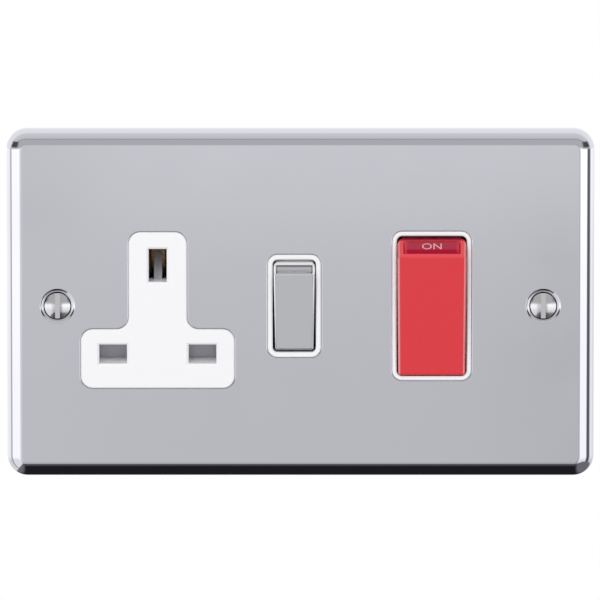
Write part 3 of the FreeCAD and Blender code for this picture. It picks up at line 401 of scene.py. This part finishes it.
def tee_ring(x, half, stem, low, shoulder, high, radius, steps=8):
    """The outline of the socket insert, with the same kind of points."""
    spots = [(half, low, -90, 1), (half, shoulder, 0, 1), (stem, shoulder, 270, -1),
             (stem, high, 0, 1), (-stem, high, 90, 1), (-stem, shoulder, 360, -1),
             (-half, shoulder, 90, 1), (-half, low, 180, 1)]
    ring = []
    for across, up, begin, turn in spots:
        lift = radius if up == low or turn < 0 else -radius
        centre = (across - turn * math.copysign(radius, across), up + lift)
        for step in range(steps + 1):
            angle = math.radians(begin + turn * 90 * step / steps)
            out = (math.cos(angle), math.sin(angle))
            ring.append((x + centre[0] + radius * out[0], centre[1] + radius * out[1],
                         (turn * out[0], turn * out[1])))
    return ring


class Skin:
    """Collects rings of points and the faces between them, with exact normals."""

    def __init__(self):
        self.verts, self.faces, self.normals = [], [], []

    def ring(self, outline, inset, y, sideways, forward):
        """One copy of an outline, moved in by inset, with its normal's share sideways and towards -Y."""
        first = len(self.verts)
        size = math.hypot(sideways, forward)
        for x, z, out in outline:
            self.verts.append((x - inset * out[0], y, z - inset * out[1]))
            self.normals.append((out[0] * sideways / size, -forward / size, out[1] * sideways / size))
        return range(first, len(self.verts))

    def loft(self, rings, flip=False):
        for lower, upper in zip(rings, rings[1:]):
            count = len(lower)
            for index in range(count):
                after = (index + 1) % count
                face = (lower[index], upper[index], upper[after], lower[after])
                self.faces.append(face[::-1] if flip else face)

    def fill(self, loops, y, forward):
        """A flat face between an outer outline and its holes."""
        sheet = bmesh.new()
        for loop in loops:
            made = [sheet.verts.new((x, y, z)) for x, z in loop]
            for index, vert in enumerate(made):
                sheet.edges.new((vert, made[(index + 1) % len(made)]))
        bmesh.ops.triangle_fill(sheet, use_beauty=True, edges=sheet.edges[:], normal=(0, -1, 0))
        sheet.verts.index_update()
        first = len(self.verts)
        for vert in sheet.verts:
            self.verts.append(tuple(vert.co))
            self.normals.append((0, -forward, 0))
        for face in sheet.faces:
            order = [first + vert.index for vert in face.verts]
            if face.normal.y * forward > 0:
                order.reverse()
            self.faces.append(order)
        sheet.free()


def inset_loop(outline, inset):
    """The bare points of an outline, moved in by inset."""
    return [(x - inset * out[0], z - inset * out[1]) for x, z, out in outline]


def circle_ring(x, z, radius, steps=64):
    outs = [(math.cos(TAU * step / steps), math.sin(TAU * step / steps)) for step in range(steps)]
    return [(x + radius * out[0], z + radius * out[1], out) for out in outs]


# Front plate

# Points from the dish's brim inward: how far in, how deep and how steep
DISH = ((0.0, 0.0, 0.0), (0.1, 0.02, 0.4), (0.25, 0.12, 0.85), (0.38, 0.25, 0.85), (0.5, 0.32, 0.2),
        (0.75, 0.35, 0.08), (0.88, 0.38, 0.4), (0.93, 0.45, 2.0), (1.0, 0.9, 4.0), (1.3, 1.0, 0.3),
        (2.3, 1.2, 0.2))


def front_plate():
    """The sheet with its rolled edge, round-edged openings and screw dishes."""
    skin = Skin()
    outline = rounded_ring(*PLATE, steps=16)
    rings = [skin.ring(outline, 0, 0, 1, 0), skin.ring(outline, 0, PLATE_FRONT + ROLL, 1, 0)]
    for cosine, sine in quarter(24)[1:]:
        rings.append(skin.ring(outline, ROLL * (1 - cosine), PLATE_FRONT + ROLL * (1 - sine), cosine, sine))
    skin.loft(rings)
    rim = [skin.ring(outline, 0, 0, 0, -1), skin.ring(outline, SHEET_STEEL, 0, 0, -1)]
    skin.loft(rim, flip=True)
    inner_roll = ROLL - SHEET_STEEL
    inside = [skin.ring(outline, SHEET_STEEL, 0, -1, 0)]
    for cosine, sine in quarter(8):
        inside.append(skin.ring(outline, SHEET_STEEL + inner_roll * (1 - cosine),
                                PLATE_INNER + inner_roll * (1 - sine), -cosine, -sine))
    skin.loft(inside, flip=True)
    half, stem, low, shoulder, high, corner = INSERT
    holes = [tee_ring(INSERT_X, half + GAP, stem + GAP, low - GAP, shoulder + GAP, high + GAP, corner)]
    for middle, (width, height) in ((SOCKET_X, SOCKET_FRAME), (COOKER_X, COOKER_FRAME)):
        holes.append(rounded_ring(middle, 0, width + 2 * GAP, height + 2 * GAP, FRAME_CORNER + GAP))
    dishes = [circle_ring(side * SCREW_X, 0, DISH_RADIUS) for side in (-1, 1)]
    edge = 0.22
    for hole in holes:
        lip = []
        for cosine, sine in quarter(6):
            lip.append(skin.ring(hole, edge * (sine - 1), PLATE_FRONT + edge * (1 - cosine), -sine, cosine))
        lip.append(skin.ring(hole, 0, PLATE_INNER, -1, 0))
        skin.loft(lip)
    for dish in dishes:
        skin.loft([skin.ring(dish, inset, PLATE_FRONT + deep, -steep, 1) for inset, deep, steep in DISH])
    front = [inset_loop(outline, ROLL)] + [inset_loop(hole, -edge) for hole in holes]
    skin.fill(front + [inset_loop(dish, 0) for dish in dishes], PLATE_FRONT, 1)
    back = [inset_loop(outline, ROLL)] + [inset_loop(hole, 0) for hole in holes]
    back += [inset_loop(circle_ring(side * SCREW_X, 0, SCREW_HOLE), 0) for side in (-1, 1)]
    skin.fill(back, PLATE_INNER, -1)
    make_piece("plate_skin", skin.verts, skin.faces, "root", chrome,
               ("front_plate",), skin.normals)


front_plate()


# Rockers

TILT = math.radians(7.0)
PIVOT_Y = -0.5
# Corner radius of a rocker seen from the front, and how far its skirt reaches behind the pivot
CORNER, SKIRT = 1.1, 2.5


def tilted(x, y, z, centre_x):
    """A point of a rocker's own frame, put where the rocker stands at rest."""
    return (centre_x + x, PIVOT_Y + y * math.cos(TILT) - z * math.sin(TILT),
            y * math.sin(TILT) + z * math.cos(TILT))


def turn_corner(before, corner, after, radius, steps):
    """Replaces a corner of a side view with an arc."""
    arms = [(Vector(spot) - Vector(corner)).normalized() for spot in (before, after)]
    half = arms[0].angle(arms[1]) / 2
    reach = radius / math.tan(half)
    middle = Vector(corner) + (arms[0] + arms[1]).normalized() * radius / math.sin(half)
    start, end = (Vector(corner) + arm * reach - middle for arm in arms)
    sweep = start.angle(end)
    across = (end - start * start.dot(end) / radius ** 2).normalized() * radius
    turns = [sweep * step / steps for step in range(steps + 1)]
    return [tuple(middle + start * math.cos(turn) + across * math.sin(turn)) for turn in turns]


class RockerShape:
    """The side view and the widths of a rocker, in its own frame.

    radius is that of its back round the pivot, face how far the face lies before the pivot, ridge the
    height where the bevel starts, bevel its lean in degrees, top half the width at the top, taper
    what the width loses down to the bottom, and heel how far the lower end reaches forward.
    """

    def __init__(self, centre_x, radius, face, ridge, bevel, top, taper, heel):
        self.centre_x, self.radius, self.face, self.ridge = centre_x, radius, face, ridge
        self.top, self.taper, self.heel = top, taper, heel
        self.way = Vector((math.sin(math.radians(bevel)), math.cos(math.radians(bevel))))
        corner = Vector((-face, ridge))
        along = corner.dot(self.way)
        self.length = math.sqrt(along ** 2 + radius ** 2 - corner.length_squared) - along
        self.out = Vector((-self.way.y, self.way.x))

    def half_width(self, z):
        """Half the width at a height, with the corners round."""
        beyond = max(abs(z) - self.radius + CORNER, 0.0)
        return (self.top - self.taper * (self.radius - z) / (2 * self.radius)
                - CORNER + math.sqrt(max(CORNER ** 2 - beyond ** 2, 0.0)))

    def on_bevel(self, along, raised=0.0):
        """A point so far up the bevel and so far above it."""
        return Vector((-self.face, self.ridge)) + self.way * along + self.out * raised

    def side_view(self, edge, groove, bead):
        """Points up the face, over the bevel and round the back; groove is (start, end, depth)."""
        bevel_edge, back_step = 0.25, 0.08
        heel = (-self.heel, -math.sqrt(self.radius ** 2 - self.heel ** 2))
        toe = (-self.face, heel[1])
        ridge, end = (-self.face, self.ridge), tuple(self.on_bevel(self.length))
        points = turn_corner(heel, toe, ridge, edge, 6)
        points += turn_corner(toe, ridge, end, edge, 6)
        first, last, depth = groove
        for step in range(17):
            share = step / 16
            dip = depth * (1 - (2 * share - 1) ** 2) ** 0.5
            points.append(tuple(self.on_bevel(first + (last - first) * share, -dip)))
        if bead:
            rise = self.length - 0.3 - last
            for share in (step / 9 for step in range(1, 9)):
                points.append(tuple(self.on_bevel(last + rise * share, bead * math.sin(math.pi * share))))
        after = math.atan2(end[1], end[0]) - back_step
        past = (self.radius * math.cos(after), self.radius * math.sin(after))
        points += turn_corner(ridge, end, past, bevel_edge, 4)
        top = math.atan2(math.sqrt(self.radius ** 2 - SKIRT ** 2), SKIRT)
        angles = [after + (top - after) * step / 8 for step in range(1, 9)]
        angles += [-top + (math.atan2(heel[1], heel[0]) + top) * step / 8 for step in range(9)]
        return points + [(self.radius * math.cos(angle), self.radius * math.sin(angle)) for angle in angles]


def tube(rings):
    """Verts and faces of a closed body through rings of equally many points, with flat ends."""
    count = len(rings[0])
    last = count * (len(rings) - 1)
    faces = []
    for lower in range(0, last, count):
        for index in range(count):
            after = (index + 1) % count
            faces.append((lower + index, lower + after, lower + count + after, lower + count + index))
    faces.append(tuple(range(count - 1, -1, -1)))
    faces.append(tuple(range(last, last + count)))
    return [spot for ring in rings for spot in ring], faces


def rocker_skin(rocker, shape, edge, groove, bead, half_bar, slot, look):
    """A rocker with round edges, a groove along the middle of its bevel and a bead beyond that."""
    plain = shape.side_view(edge, (groove[0], groove[1], 0.0), bead)
    dipped = shape.side_view(edge, groove, bead)
    outward = []
    for index in range(len(plain)):
        along = Vector(plain[(index + 1) % len(plain)]) - Vector(plain[index - 1])
        outward.append(Vector((-along.y, along.x)).normalized() if along.length else Vector((-1, 0)))

    def side_ring(side, cosine, sine):
        narrower, inset = edge * (1 - sine), edge * (1 - cosine)
        return [tilted(side * (shape.half_width(z) - inset), y - out.x * narrower, z - out.y * narrower,
                       shape.centre_x) for (y, z), out in zip(plain, outward)]

    def middle_ring(x, outline):
        return [tilted(x, y, z, shape.centre_x) for y, z in outline]

    wall = half_bar + 0.12
    rings = [side_ring(-1, *arm) for arm in quarter(6)]
    rings += [middle_ring(-wall, plain), middle_ring(-half_bar, dipped)]
    rings += [middle_ring(half_bar, dipped), middle_ring(wall, plain)]
    rings += [side_ring(1, *arm) for arm in quarter(6)[::-1]]
    make_solid(f"{rocker}_skin", *tube(rings), rocker, slot, look, (rocker,))


red_shape = RockerShape(COOKER_X, radius=17.25, face=7.05, ridge=13.65, bevel=55.0, top=8.58, taper=0.25,
                        heel=4.7)
chrome_shape = RockerShape(SOCKET_X, radius=11.5, face=5.6, ridge=9.0, bevel=60.0, top=5.15, taper=0.4,
                           heel=5.0)
rocker_skin("cooker_rocker", red_shape, edge=0.55, groove=(1.25, red_shape.length - 0.6, 0.9), bead=0.0,
            half_bar=6.95, slot="red_moulding", look=red)
rocker_skin("socket_rocker", chrome_shape, edge=0.4, groove=(0.45, 3.3, 0.5), bead=0.3,
            half_bar=4.5, slot="chromed_moulding", look=rocker_chrome)


# Lens with its word

def rounded_bar(shape, along, across, raised, edge):
    """A bar lying on a rocker's bevel, with round edges, as verts and faces."""
    deep, roundness, sink = 0.8, 0.6, 0.8
    low, high = along
    rings = []
    for side in (-1, 1):
        for cosine, sine in quarter(4)[::-side]:
            inset = edge * (1 - sine)
            x = side * (across / 2 - edge * (1 - cosine))
            spots = []
            for turn in range(13):
                lift = math.pi * turn / 12
                place = (low + high) / 2 - ((high - low) / 2 - inset) * math.cos(lift)
                spots.append(shape.on_bevel(place, raised * math.sin(lift) ** roundness - inset * sink))
            spots += [shape.on_bevel(high - inset, -deep), shape.on_bevel(low + inset, -deep)]
            rings.append([tilted(x, spot.x, spot.y, shape.centre_x) for spot in spots])
    return tube(rings)


def legend(word, shape, middle, width, height, raised):
    """The generic word in flat letters, laid on the lens."""
    curve = bpy.data.curves.new("legend_letters", "FONT")
    curve.body = word
    curve.resolution_u = 6
    maker = bpy.data.objects.new("legend_letters", curve)
    bpy.context.scene.collection.objects.link(maker)
    flat = evaluated(maker)
    bpy.data.objects.remove(maker)
    spots = [vert.co.copy() for vert in flat.vertices]
    low = [min(spot[axis] for spot in spots) for axis in (0, 1)]
    high = [max(spot[axis] for spot in spots) for axis in (0, 1)]
    verts = []
    for spot in spots:
        across = ((spot.x - low[0]) / (high[0] - low[0]) - 0.5) * width
        along = middle + ((spot.y - low[1]) / (high[1] - low[1]) - 0.5) * height
        place = shape.on_bevel(along, raised)
        verts.append(tilted(across, place.x, place.y, shape.centre_x))
    faces = [tuple(face.vertices) for face in flat.polygons]
    bpy.data.meshes.remove(flat)
    make_piece("legend_word", verts, faces, "cooker_rocker", legend_ink)


lens_bar = rounded_bar(red_shape, along=(1.3, red_shape.length - 0.7), across=13.8, raised=0.16, edge=0.75)
make_solid("lens_bar", *lens_bar, "cooker_rocker", "crimson_lens", crimson, ("legend_lens",))
legend("ON", red_shape, middle=3.55, width=4.85, height=1.9, raised=0.185)


# Fixing screws

def lathe(profile, centre_x, steps=72):
    """Turns (radius, y) points about a line along Y."""
    verts, faces, rings = [], [], []
    for radius, y in profile:
        if radius < 1e-6:
            rings.append([len(verts)])
            verts.append((centre_x, y, 0.0))
        else:
            rings.append(list(range(len(verts), len(verts) + steps)))
            verts.extend((x, y, z) for x, z, _ in circle_ring(centre_x, 0.0, radius, steps))
    for lower, upper in zip(rings, rings[1:]):
        for index in range(steps):
            after = (index + 1) % steps
            if len(lower) == 1:
                faces.append((lower[0], upper[after], upper[index]))
            elif len(upper) == 1:
                faces.append((lower[index], lower[after], upper[0]))
            else:
                faces.append((lower[index], lower[after], upper[after], upper[index]))
    return verts, faces


def cut_away(piece, low, high):
    """Cuts a box out of a closed piece; low and high are its corners in millimetres."""
    data = bpy.data.meshes.new("cutter")
    spots = [(x * MM, y * MM, z * MM) for x, y, z in itertools.product(*zip(low, high))]
    data.from_pydata(spots, [], [(0, 1, 3, 2), (4, 6, 7, 5), (0, 4, 5, 1), (2, 3, 7, 6), (0, 2, 6, 4),
                                 (1, 5, 7, 3)])
    cutter = bpy.data.objects.new("cutter", data)
    bpy.context.scene.collection.objects.link(cutter)
    change = piece.modifiers.new("cut", "BOOLEAN")
    change.operation = "DIFFERENCE"
    change.solver = "EXACT"
    change.object = cutter
    result = evaluated(piece)
    piece.modifiers.remove(change)
    piece.data = result
    bpy.data.objects.remove(cutter)
    outward_faces(piece.data)


SHANK, SCREW_TIP = 1.75, 21.0
THREAD_START, THREAD_END, THREAD_CORE, THREAD_DEPTH, THREAD_PITCH = 2.6, 20.4, 1.5, 0.25, 0.6


def fixing_screw(name, centre_x):
    """A raised slotted head with a thin step round its dome, on a shank that is plain up to its thread."""
    seat, head, step_width, dome = -4.5, 3.25, 0.14, 0.62
    neck, slot_half, slot_depth = 1.5, 0.6, 0.95
    top = seat - 0.2 - dome
    ball = (head ** 2 + dome ** 2) / (2 * dome)
    profile = [(0.0, top)]
    for step in range(1, 13):
        radius = (head - step_width) * step / 12
        profile.append((radius, top + ball - math.sqrt(ball ** 2 - radius ** 2)))
    rim = profile[-1][1]
    profile += [(head - 0.05, rim + 0.05), (head, rim + 0.14), (head, seat + 0.05), (1.9, seat + 1.4),
                (neck, seat + 1.9), (neck, -1.6), (SHANK, -1.35), (SHANK, THREAD_START - 0.4),
                (THREAD_CORE, THREAD_START - 0.15), (THREAD_CORE, SCREW_TIP - 0.4),
                (THREAD_CORE - 0.3, SCREW_TIP), (0.0, SCREW_TIP)]
    piece = make_solid(name, *lathe(profile, centre_x), "root", "screw_plating", screw_chrome,
                       ("fixing_screws",))
    cut_away(piece, (centre_x - slot_half, -8.0, -4.0), (centre_x + slot_half, top + slot_depth, 4.0))


fixing_screw("fixing_screw_left", -SCREW_X)
fixing_screw("fixing_screw_right", SCREW_X)


# Wound parts: screw threads and springs

def winding_group():
    """A spiral along Z with a small round or four-sided section, and its inputs' identifiers."""
    group = bpy.data.node_groups.new("winding", "GeometryNodeTree")
    names = {}
    for name, kind in (("Length", "Float"), ("Radius", "Float"), ("Section", "Float"), ("Pitch", "Float"),
                       ("Sides", "Int"), ("Finish", "Material"), ("Copies", "Int"), ("Apart", "Vector")):
        made = group.interface.new_socket(name=name, in_out="INPUT", socket_type=f"NodeSocket{kind}")
        names[name] = made.identifier
    group.interface.new_socket(name="Geometry", in_out="OUTPUT", socket_type="NodeSocketGeometry")
    tree = Tree(group)
    given = tree.node("NodeGroupInput")
    inputs = {name: Value(tree, given.outputs[name]) for name in names}
    strand = tree.node("GeometryNodeCurveSpiral", None, {
        "Resolution": 24, "Rotations": inputs["Length"] / inputs["Pitch"],
        "Start Radius": inputs["Radius"], "End Radius": inputs["Radius"], "Height": inputs["Length"]})
    upright = tree.node("GeometryNodeSetCurveNormal", {"mode": "Z_UP"}, {"Curve": strand.outputs[0]})
    section = tree.node("GeometryNodeCurvePrimitiveCircle", None, {
        "Resolution": inputs["Sides"], "Radius": inputs["Section"]})
    swept = tree.node("GeometryNodeCurveToMesh", None, {
        "Curve": upright.outputs[0], "Profile Curve": section.outputs[0], "Fill Caps": True})
    spots = tree.node("GeometryNodeMeshLine", {"mode": "OFFSET"}, {
        "Count": inputs["Copies"], "Offset": inputs["Apart"]})
    placed = tree.node("GeometryNodeInstanceOnPoints", None, {
        "Points": spots.outputs[0], "Instance": swept.outputs[0]})
    real = tree.node("GeometryNodeRealizeInstances", None, {0: placed.outputs[0]})
    finished = tree.node("GeometryNodeSetMaterial", None, {
        "Geometry": real.outputs[0], "Material": inputs["Finish"]})
    tree.node("NodeGroupOutput", None, {0: finished.outputs[0]})
    return group, names


def wound(name, settings, placing, body, replaced=()):
    """A piece from the winding group; its lengths are in metres, and placing turns and moves it."""
    maker = bpy.data.objects.new("maker", bpy.data.meshes.new("maker"))
    bpy.context.scene.collection.objects.link(maker)
    change = maker.modifiers.new("winding", "NODES")
    change.node_group = winding
    for setting, given in settings.items():
        change[sockets[setting]] = given
    data = evaluated(maker)
    bpy.data.objects.remove(maker)
    data.transform(placing)
    piece = add_piece(name, data, body, replaced)
    outward_faces(data)
    return piece


winding, sockets = winding_group()
wound("fixing_screw_threads",
      {"Length": THREAD_END * MM - THREAD_START * MM, "Radius": THREAD_CORE * MM,
       "Section": THREAD_DEPTH * MM, "Pitch": THREAD_PITCH * MM, "Sides": 4, "Finish": screw_chrome,
       "Copies": 2, "Apart": (2 * SCREW_X * MM, 0.0, 0.0)},
      Matrix.Translation((-SCREW_X * MM, THREAD_START * MM, 0.0)) @ Matrix.Rotation(-math.pi / 2, 4, "X"),
      "root")

COIL, WIRE = 1.35 * MM, 0.2 * MM


def spring_coil(word, body, foot, line, length, pitch):
    """A round-wire spring that stands on its foot along a line."""
    settings = {"Length": length - 2 * WIRE, "Radius": COIL, "Section": WIRE, "Pitch": pitch, "Sides": 10,
                "Finish": steel, "Copies": 1, "Apart": (0.0, 0.0, 0.0)}
    lean = Matrix.Rotation(-math.atan2(line[1], line[2]), 4, "X")
    placing = Matrix.Translation(Vector(foot) + Vector(line) * WIRE) @ lean
    spring = wound(f"{word}_spring_coil", settings, placing, body, (f"{word}_spring",))
    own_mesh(spring)


def switch_springs():
    """The springs behind the plungers; low and high are their ends along the plunger's line."""
    low, high = -1.31 * MM, 4.31 * MM
    line = Vector((0.0, math.cos(TILT), math.sin(TILT)))
    for word, x, rocker in (("cooker_line", 28.4, "cooker_rocker"),
                            ("cooker_neutral", 36.8, "cooker_rocker"),
                            ("socket", SOCKET_X, "socket_rocker")):
        foot = Vector((x, PIVOT_Y, 0.0)) * MM + line * low
        spring_coil(word, rocker, foot, line, high - low, 1.1 * MM)


def shutter_spring():
    """The spring that lifts the shutter."""
    low, high = -26.75 * MM, -15.25 * MM
    foot = (INSERT_X * MM, 3.7 * MM, low)
    spring_coil("shutter", "root", foot, (0.0, 0.0, 1.0), high - low, 1.3 * MM)


switch_springs()
shutter_spring()


# Stage, lights and camera

BLACK, NEAR_BLACK = (0.0, 0.0, 0.0), (0.009, 0.009, 0.011)
PEAK = 1.6
# Brightness by angle of rise in shares of 180 degrees, and by angle aside in shares of a full turn
UP_STOPS = (
    (0.0, 0.51), (0.205, 0.52), (0.222, 0.41), (0.245, 0.41), (0.265, 0.6), (0.34, 0.69), (0.5, 0.74),
    (0.53, 0.93), (1.0, 0.98))
SIDE_STOPS = (
    (0.0, 1.3), (0.22, 1.25), (0.235, 0.95), (0.248, 0.5), (0.262, 0.5), (0.278, 1.45), (0.443, 1.45),
    (0.453, 0.95), (0.463, 0.92), (0.477, 0.95), (0.487, 0.78), (0.512, 0.73), (0.52, 0.6), (0.532, 0.6),
    (0.545, 1.45), (0.672, 1.45), (0.69, 0.16), (0.744, 0.14), (0.764, 0.9), (0.785, 1.25), (0.82, 1.25),
    (0.86, 1.05), (1.0, 1.1))


def brightness(tree, stops, place):
    """A ramp whose stops are stored as shares of the brightest reflection."""
    shares = [(spot, level / PEAK) for spot, level in stops]
    return tree.value("ShaderNodeValToRGB", {"stops": shares}, {0: place})


def studio():
    """A world that only polished things mirror; the camera sees it white and matt things see it even."""
    world = bpy.data.worlds.new("studio")
    bpy.context.scene.world = world
    world.use_nodes = True
    tree = Tree(world.node_tree)
    towards = tree.value("ShaderNodeTexCoord", output=0)
    x, y, z = towards.axes()
    half_turn, full_turn = 180, 360
    degrees = half_turn / math.pi
    rise = z.math("ARCTAN2", -y) * degrees
    aside = x.math("ARCTAN2", -y) * degrees
    up_ramp = brightness(tree, UP_STOPS, rise / half_turn)
    side_ramp = brightness(tree, SIDE_STOPS, (aside + half_turn) / full_turn)

    # The flat plate mirrors a small patch just below the horizon, and these even out its tones
    low = (-z).step(0.124, 0.136)
    left_side = (-x).step(0.015, 0.0235)
    right_side = x.step(0.0165, 0.0235) * (1 - x.step(0.027, 0.03))
    drift = 0.85 - 0.04 * (-z).step(0.129, 0.134) + 0.11 * left_side * (-z).step(0.129, 0.137)
    drift = drift - 0.09 * left_side - 0.065 * right_side * low
    even = tree.value("ShaderNodeVectorMath", {"operation": "SCALE"}, {0: side_ramp, "Scale": drift / 0.83})

    # A little darker below that patch, and the rise ramp above the horizon
    level = tree.mix((-z).step(0.116, 0.148), even, tree.mix(0.15, even, BLACK))
    lower = tree.mix((-z).step(0.17, 0.42) * 0.25, level, BLACK)
    lifted = tree.mix(z.step(-0.085, 0.06), lower, up_ramp)

    # Dark patches that the upper corners of the roll mirror, and a dark floor for the bottom roll
    corner = x.math("ABSOLUTE").step(0.45, 0.7) * z.band(0.1, 0.5, 0.06) * (-y).step(-0.1, 0.2)
    shaded = tree.mix(corner * 0.85, lifted, BLACK)
    sunk = -z - 0.4 * (-x).step(0.2, 0.6)
    below = tree.mix((-z).band(0.5, 0.68, 0.06), NEAR_BLACK, (0.045, 0.045, 0.05))
    below = tree.mix(x.math("ABSOLUTE").step(0.12, 0.35), below, (0.11, 0.11, 0.12))
    dark = tree.mix(sunk.step(0.43, 0.52), shaded, below)
    tinted = tree.value("ShaderNodeVectorMath", {"operation": "SCALE"}, {0: dark, "Scale": PEAK})
    path = tree.node("ShaderNodeLightPath")
    glossy = Value(tree, path.outputs["Is Glossy Ray"])
    seen = Value(tree, path.outputs["Is Camera Ray"])
    soft = tree.mix(glossy, (0.82, 0.82, 0.83), tinted)
    colour = tree.mix(seen, soft, WHITE)
    background = tree.node("ShaderNodeBackground", None, {"Color": colour, "Strength": 1.0})
    tree.node("ShaderNodeOutputWorld", None, {"Surface": background.outputs[0]})


def pale_floor():
    """A matt floor that the camera sees as plain white from above and not at all from below."""
    made = bpy.data.materials.new("pale_floor")
    made.use_nodes = True
    tree = Tree(made.node_tree)
    matt = tree.node("ShaderNodeBsdfDiffuse", None, {"Color": (0.85, 0.85, 0.85)})
    bright = tree.node("ShaderNodeEmission", None, {"Color": WHITE, "Strength": 1.0})
    seen = tree.value("ShaderNodeLightPath", output=0)
    mixed = tree.node("ShaderNodeMixShader", None, {0: seen, 1: matt.outputs[0], 2: bright.outputs[0]})
    clear = tree.node("ShaderNodeBsdfTransparent")
    behind = tree.node("ShaderNodeNewGeometry").outputs["Backfacing"]
    sided = tree.node("ShaderNodeMixShader", None, {0: behind, 1: mixed.outputs[0], 2: clear.outputs[0]})
    tree.node("ShaderNodeOutputMaterial", None, {"Surface": sided.outputs[0]})
    data = bpy.data.meshes.new("floor")
    reach, level = 6.0, -0.13
    data.from_pydata([(-reach, -reach, level), (reach, -reach, level), (reach, reach, level),
                      (-reach, reach, level)], [], [(0, 1, 2, 3)])
    data.materials.append(made)
    floor = bpy.data.objects.new("floor", data)
    bpy.context.scene.collection.objects.link(floor)
    floor.visible_glossy = False


def soft_lamp(name, place, size, power):
    """An area lamp that looks at the middle of the plate and isn't mirrored."""
    data = bpy.data.lights.new(name, "AREA")
    data.shape = "RECTANGLE"
    data.size, data.size_y = size
    data.energy = power
    lamp = bpy.data.objects.new(name, data)
    bpy.context.scene.collection.objects.link(lamp)
    lamp.location = place
    lamp.rotation_euler = (Vector((0, 0, 0)) - Vector(place)).to_track_quat("-Z", "Y").to_euler()
    lamp.visible_glossy = False


def photo_camera():
    """The photo's view: far off, a long lens, eight degrees from above."""
    data = bpy.data.cameras.new("photo_camera")
    data.sensor_width = 36.0
    data.lens = 652.5
    data.clip_end = 50.0
    camera = bpy.data.objects.new("photo_camera", data)
    bpy.context.scene.collection.objects.link(camera)
    away, lift, centre = 2.7, math.radians(8.0), Vector((-0.0001, -0.004, 0.0014))
    camera.location = centre + Vector((0, -away * math.cos(lift), away * math.sin(lift)))
    camera.rotation_euler = (centre - camera.location).to_track_quat("-Z", "Y").to_euler()
    bpy.context.scene.camera = camera


studio()
pale_floor()
soft_lamp("key", (-0.25, -0.7, 0.6), (0.5, 0.5), 2.2)
photo_camera()
bpy.context.scene.view_settings.view_transform = "Standard"
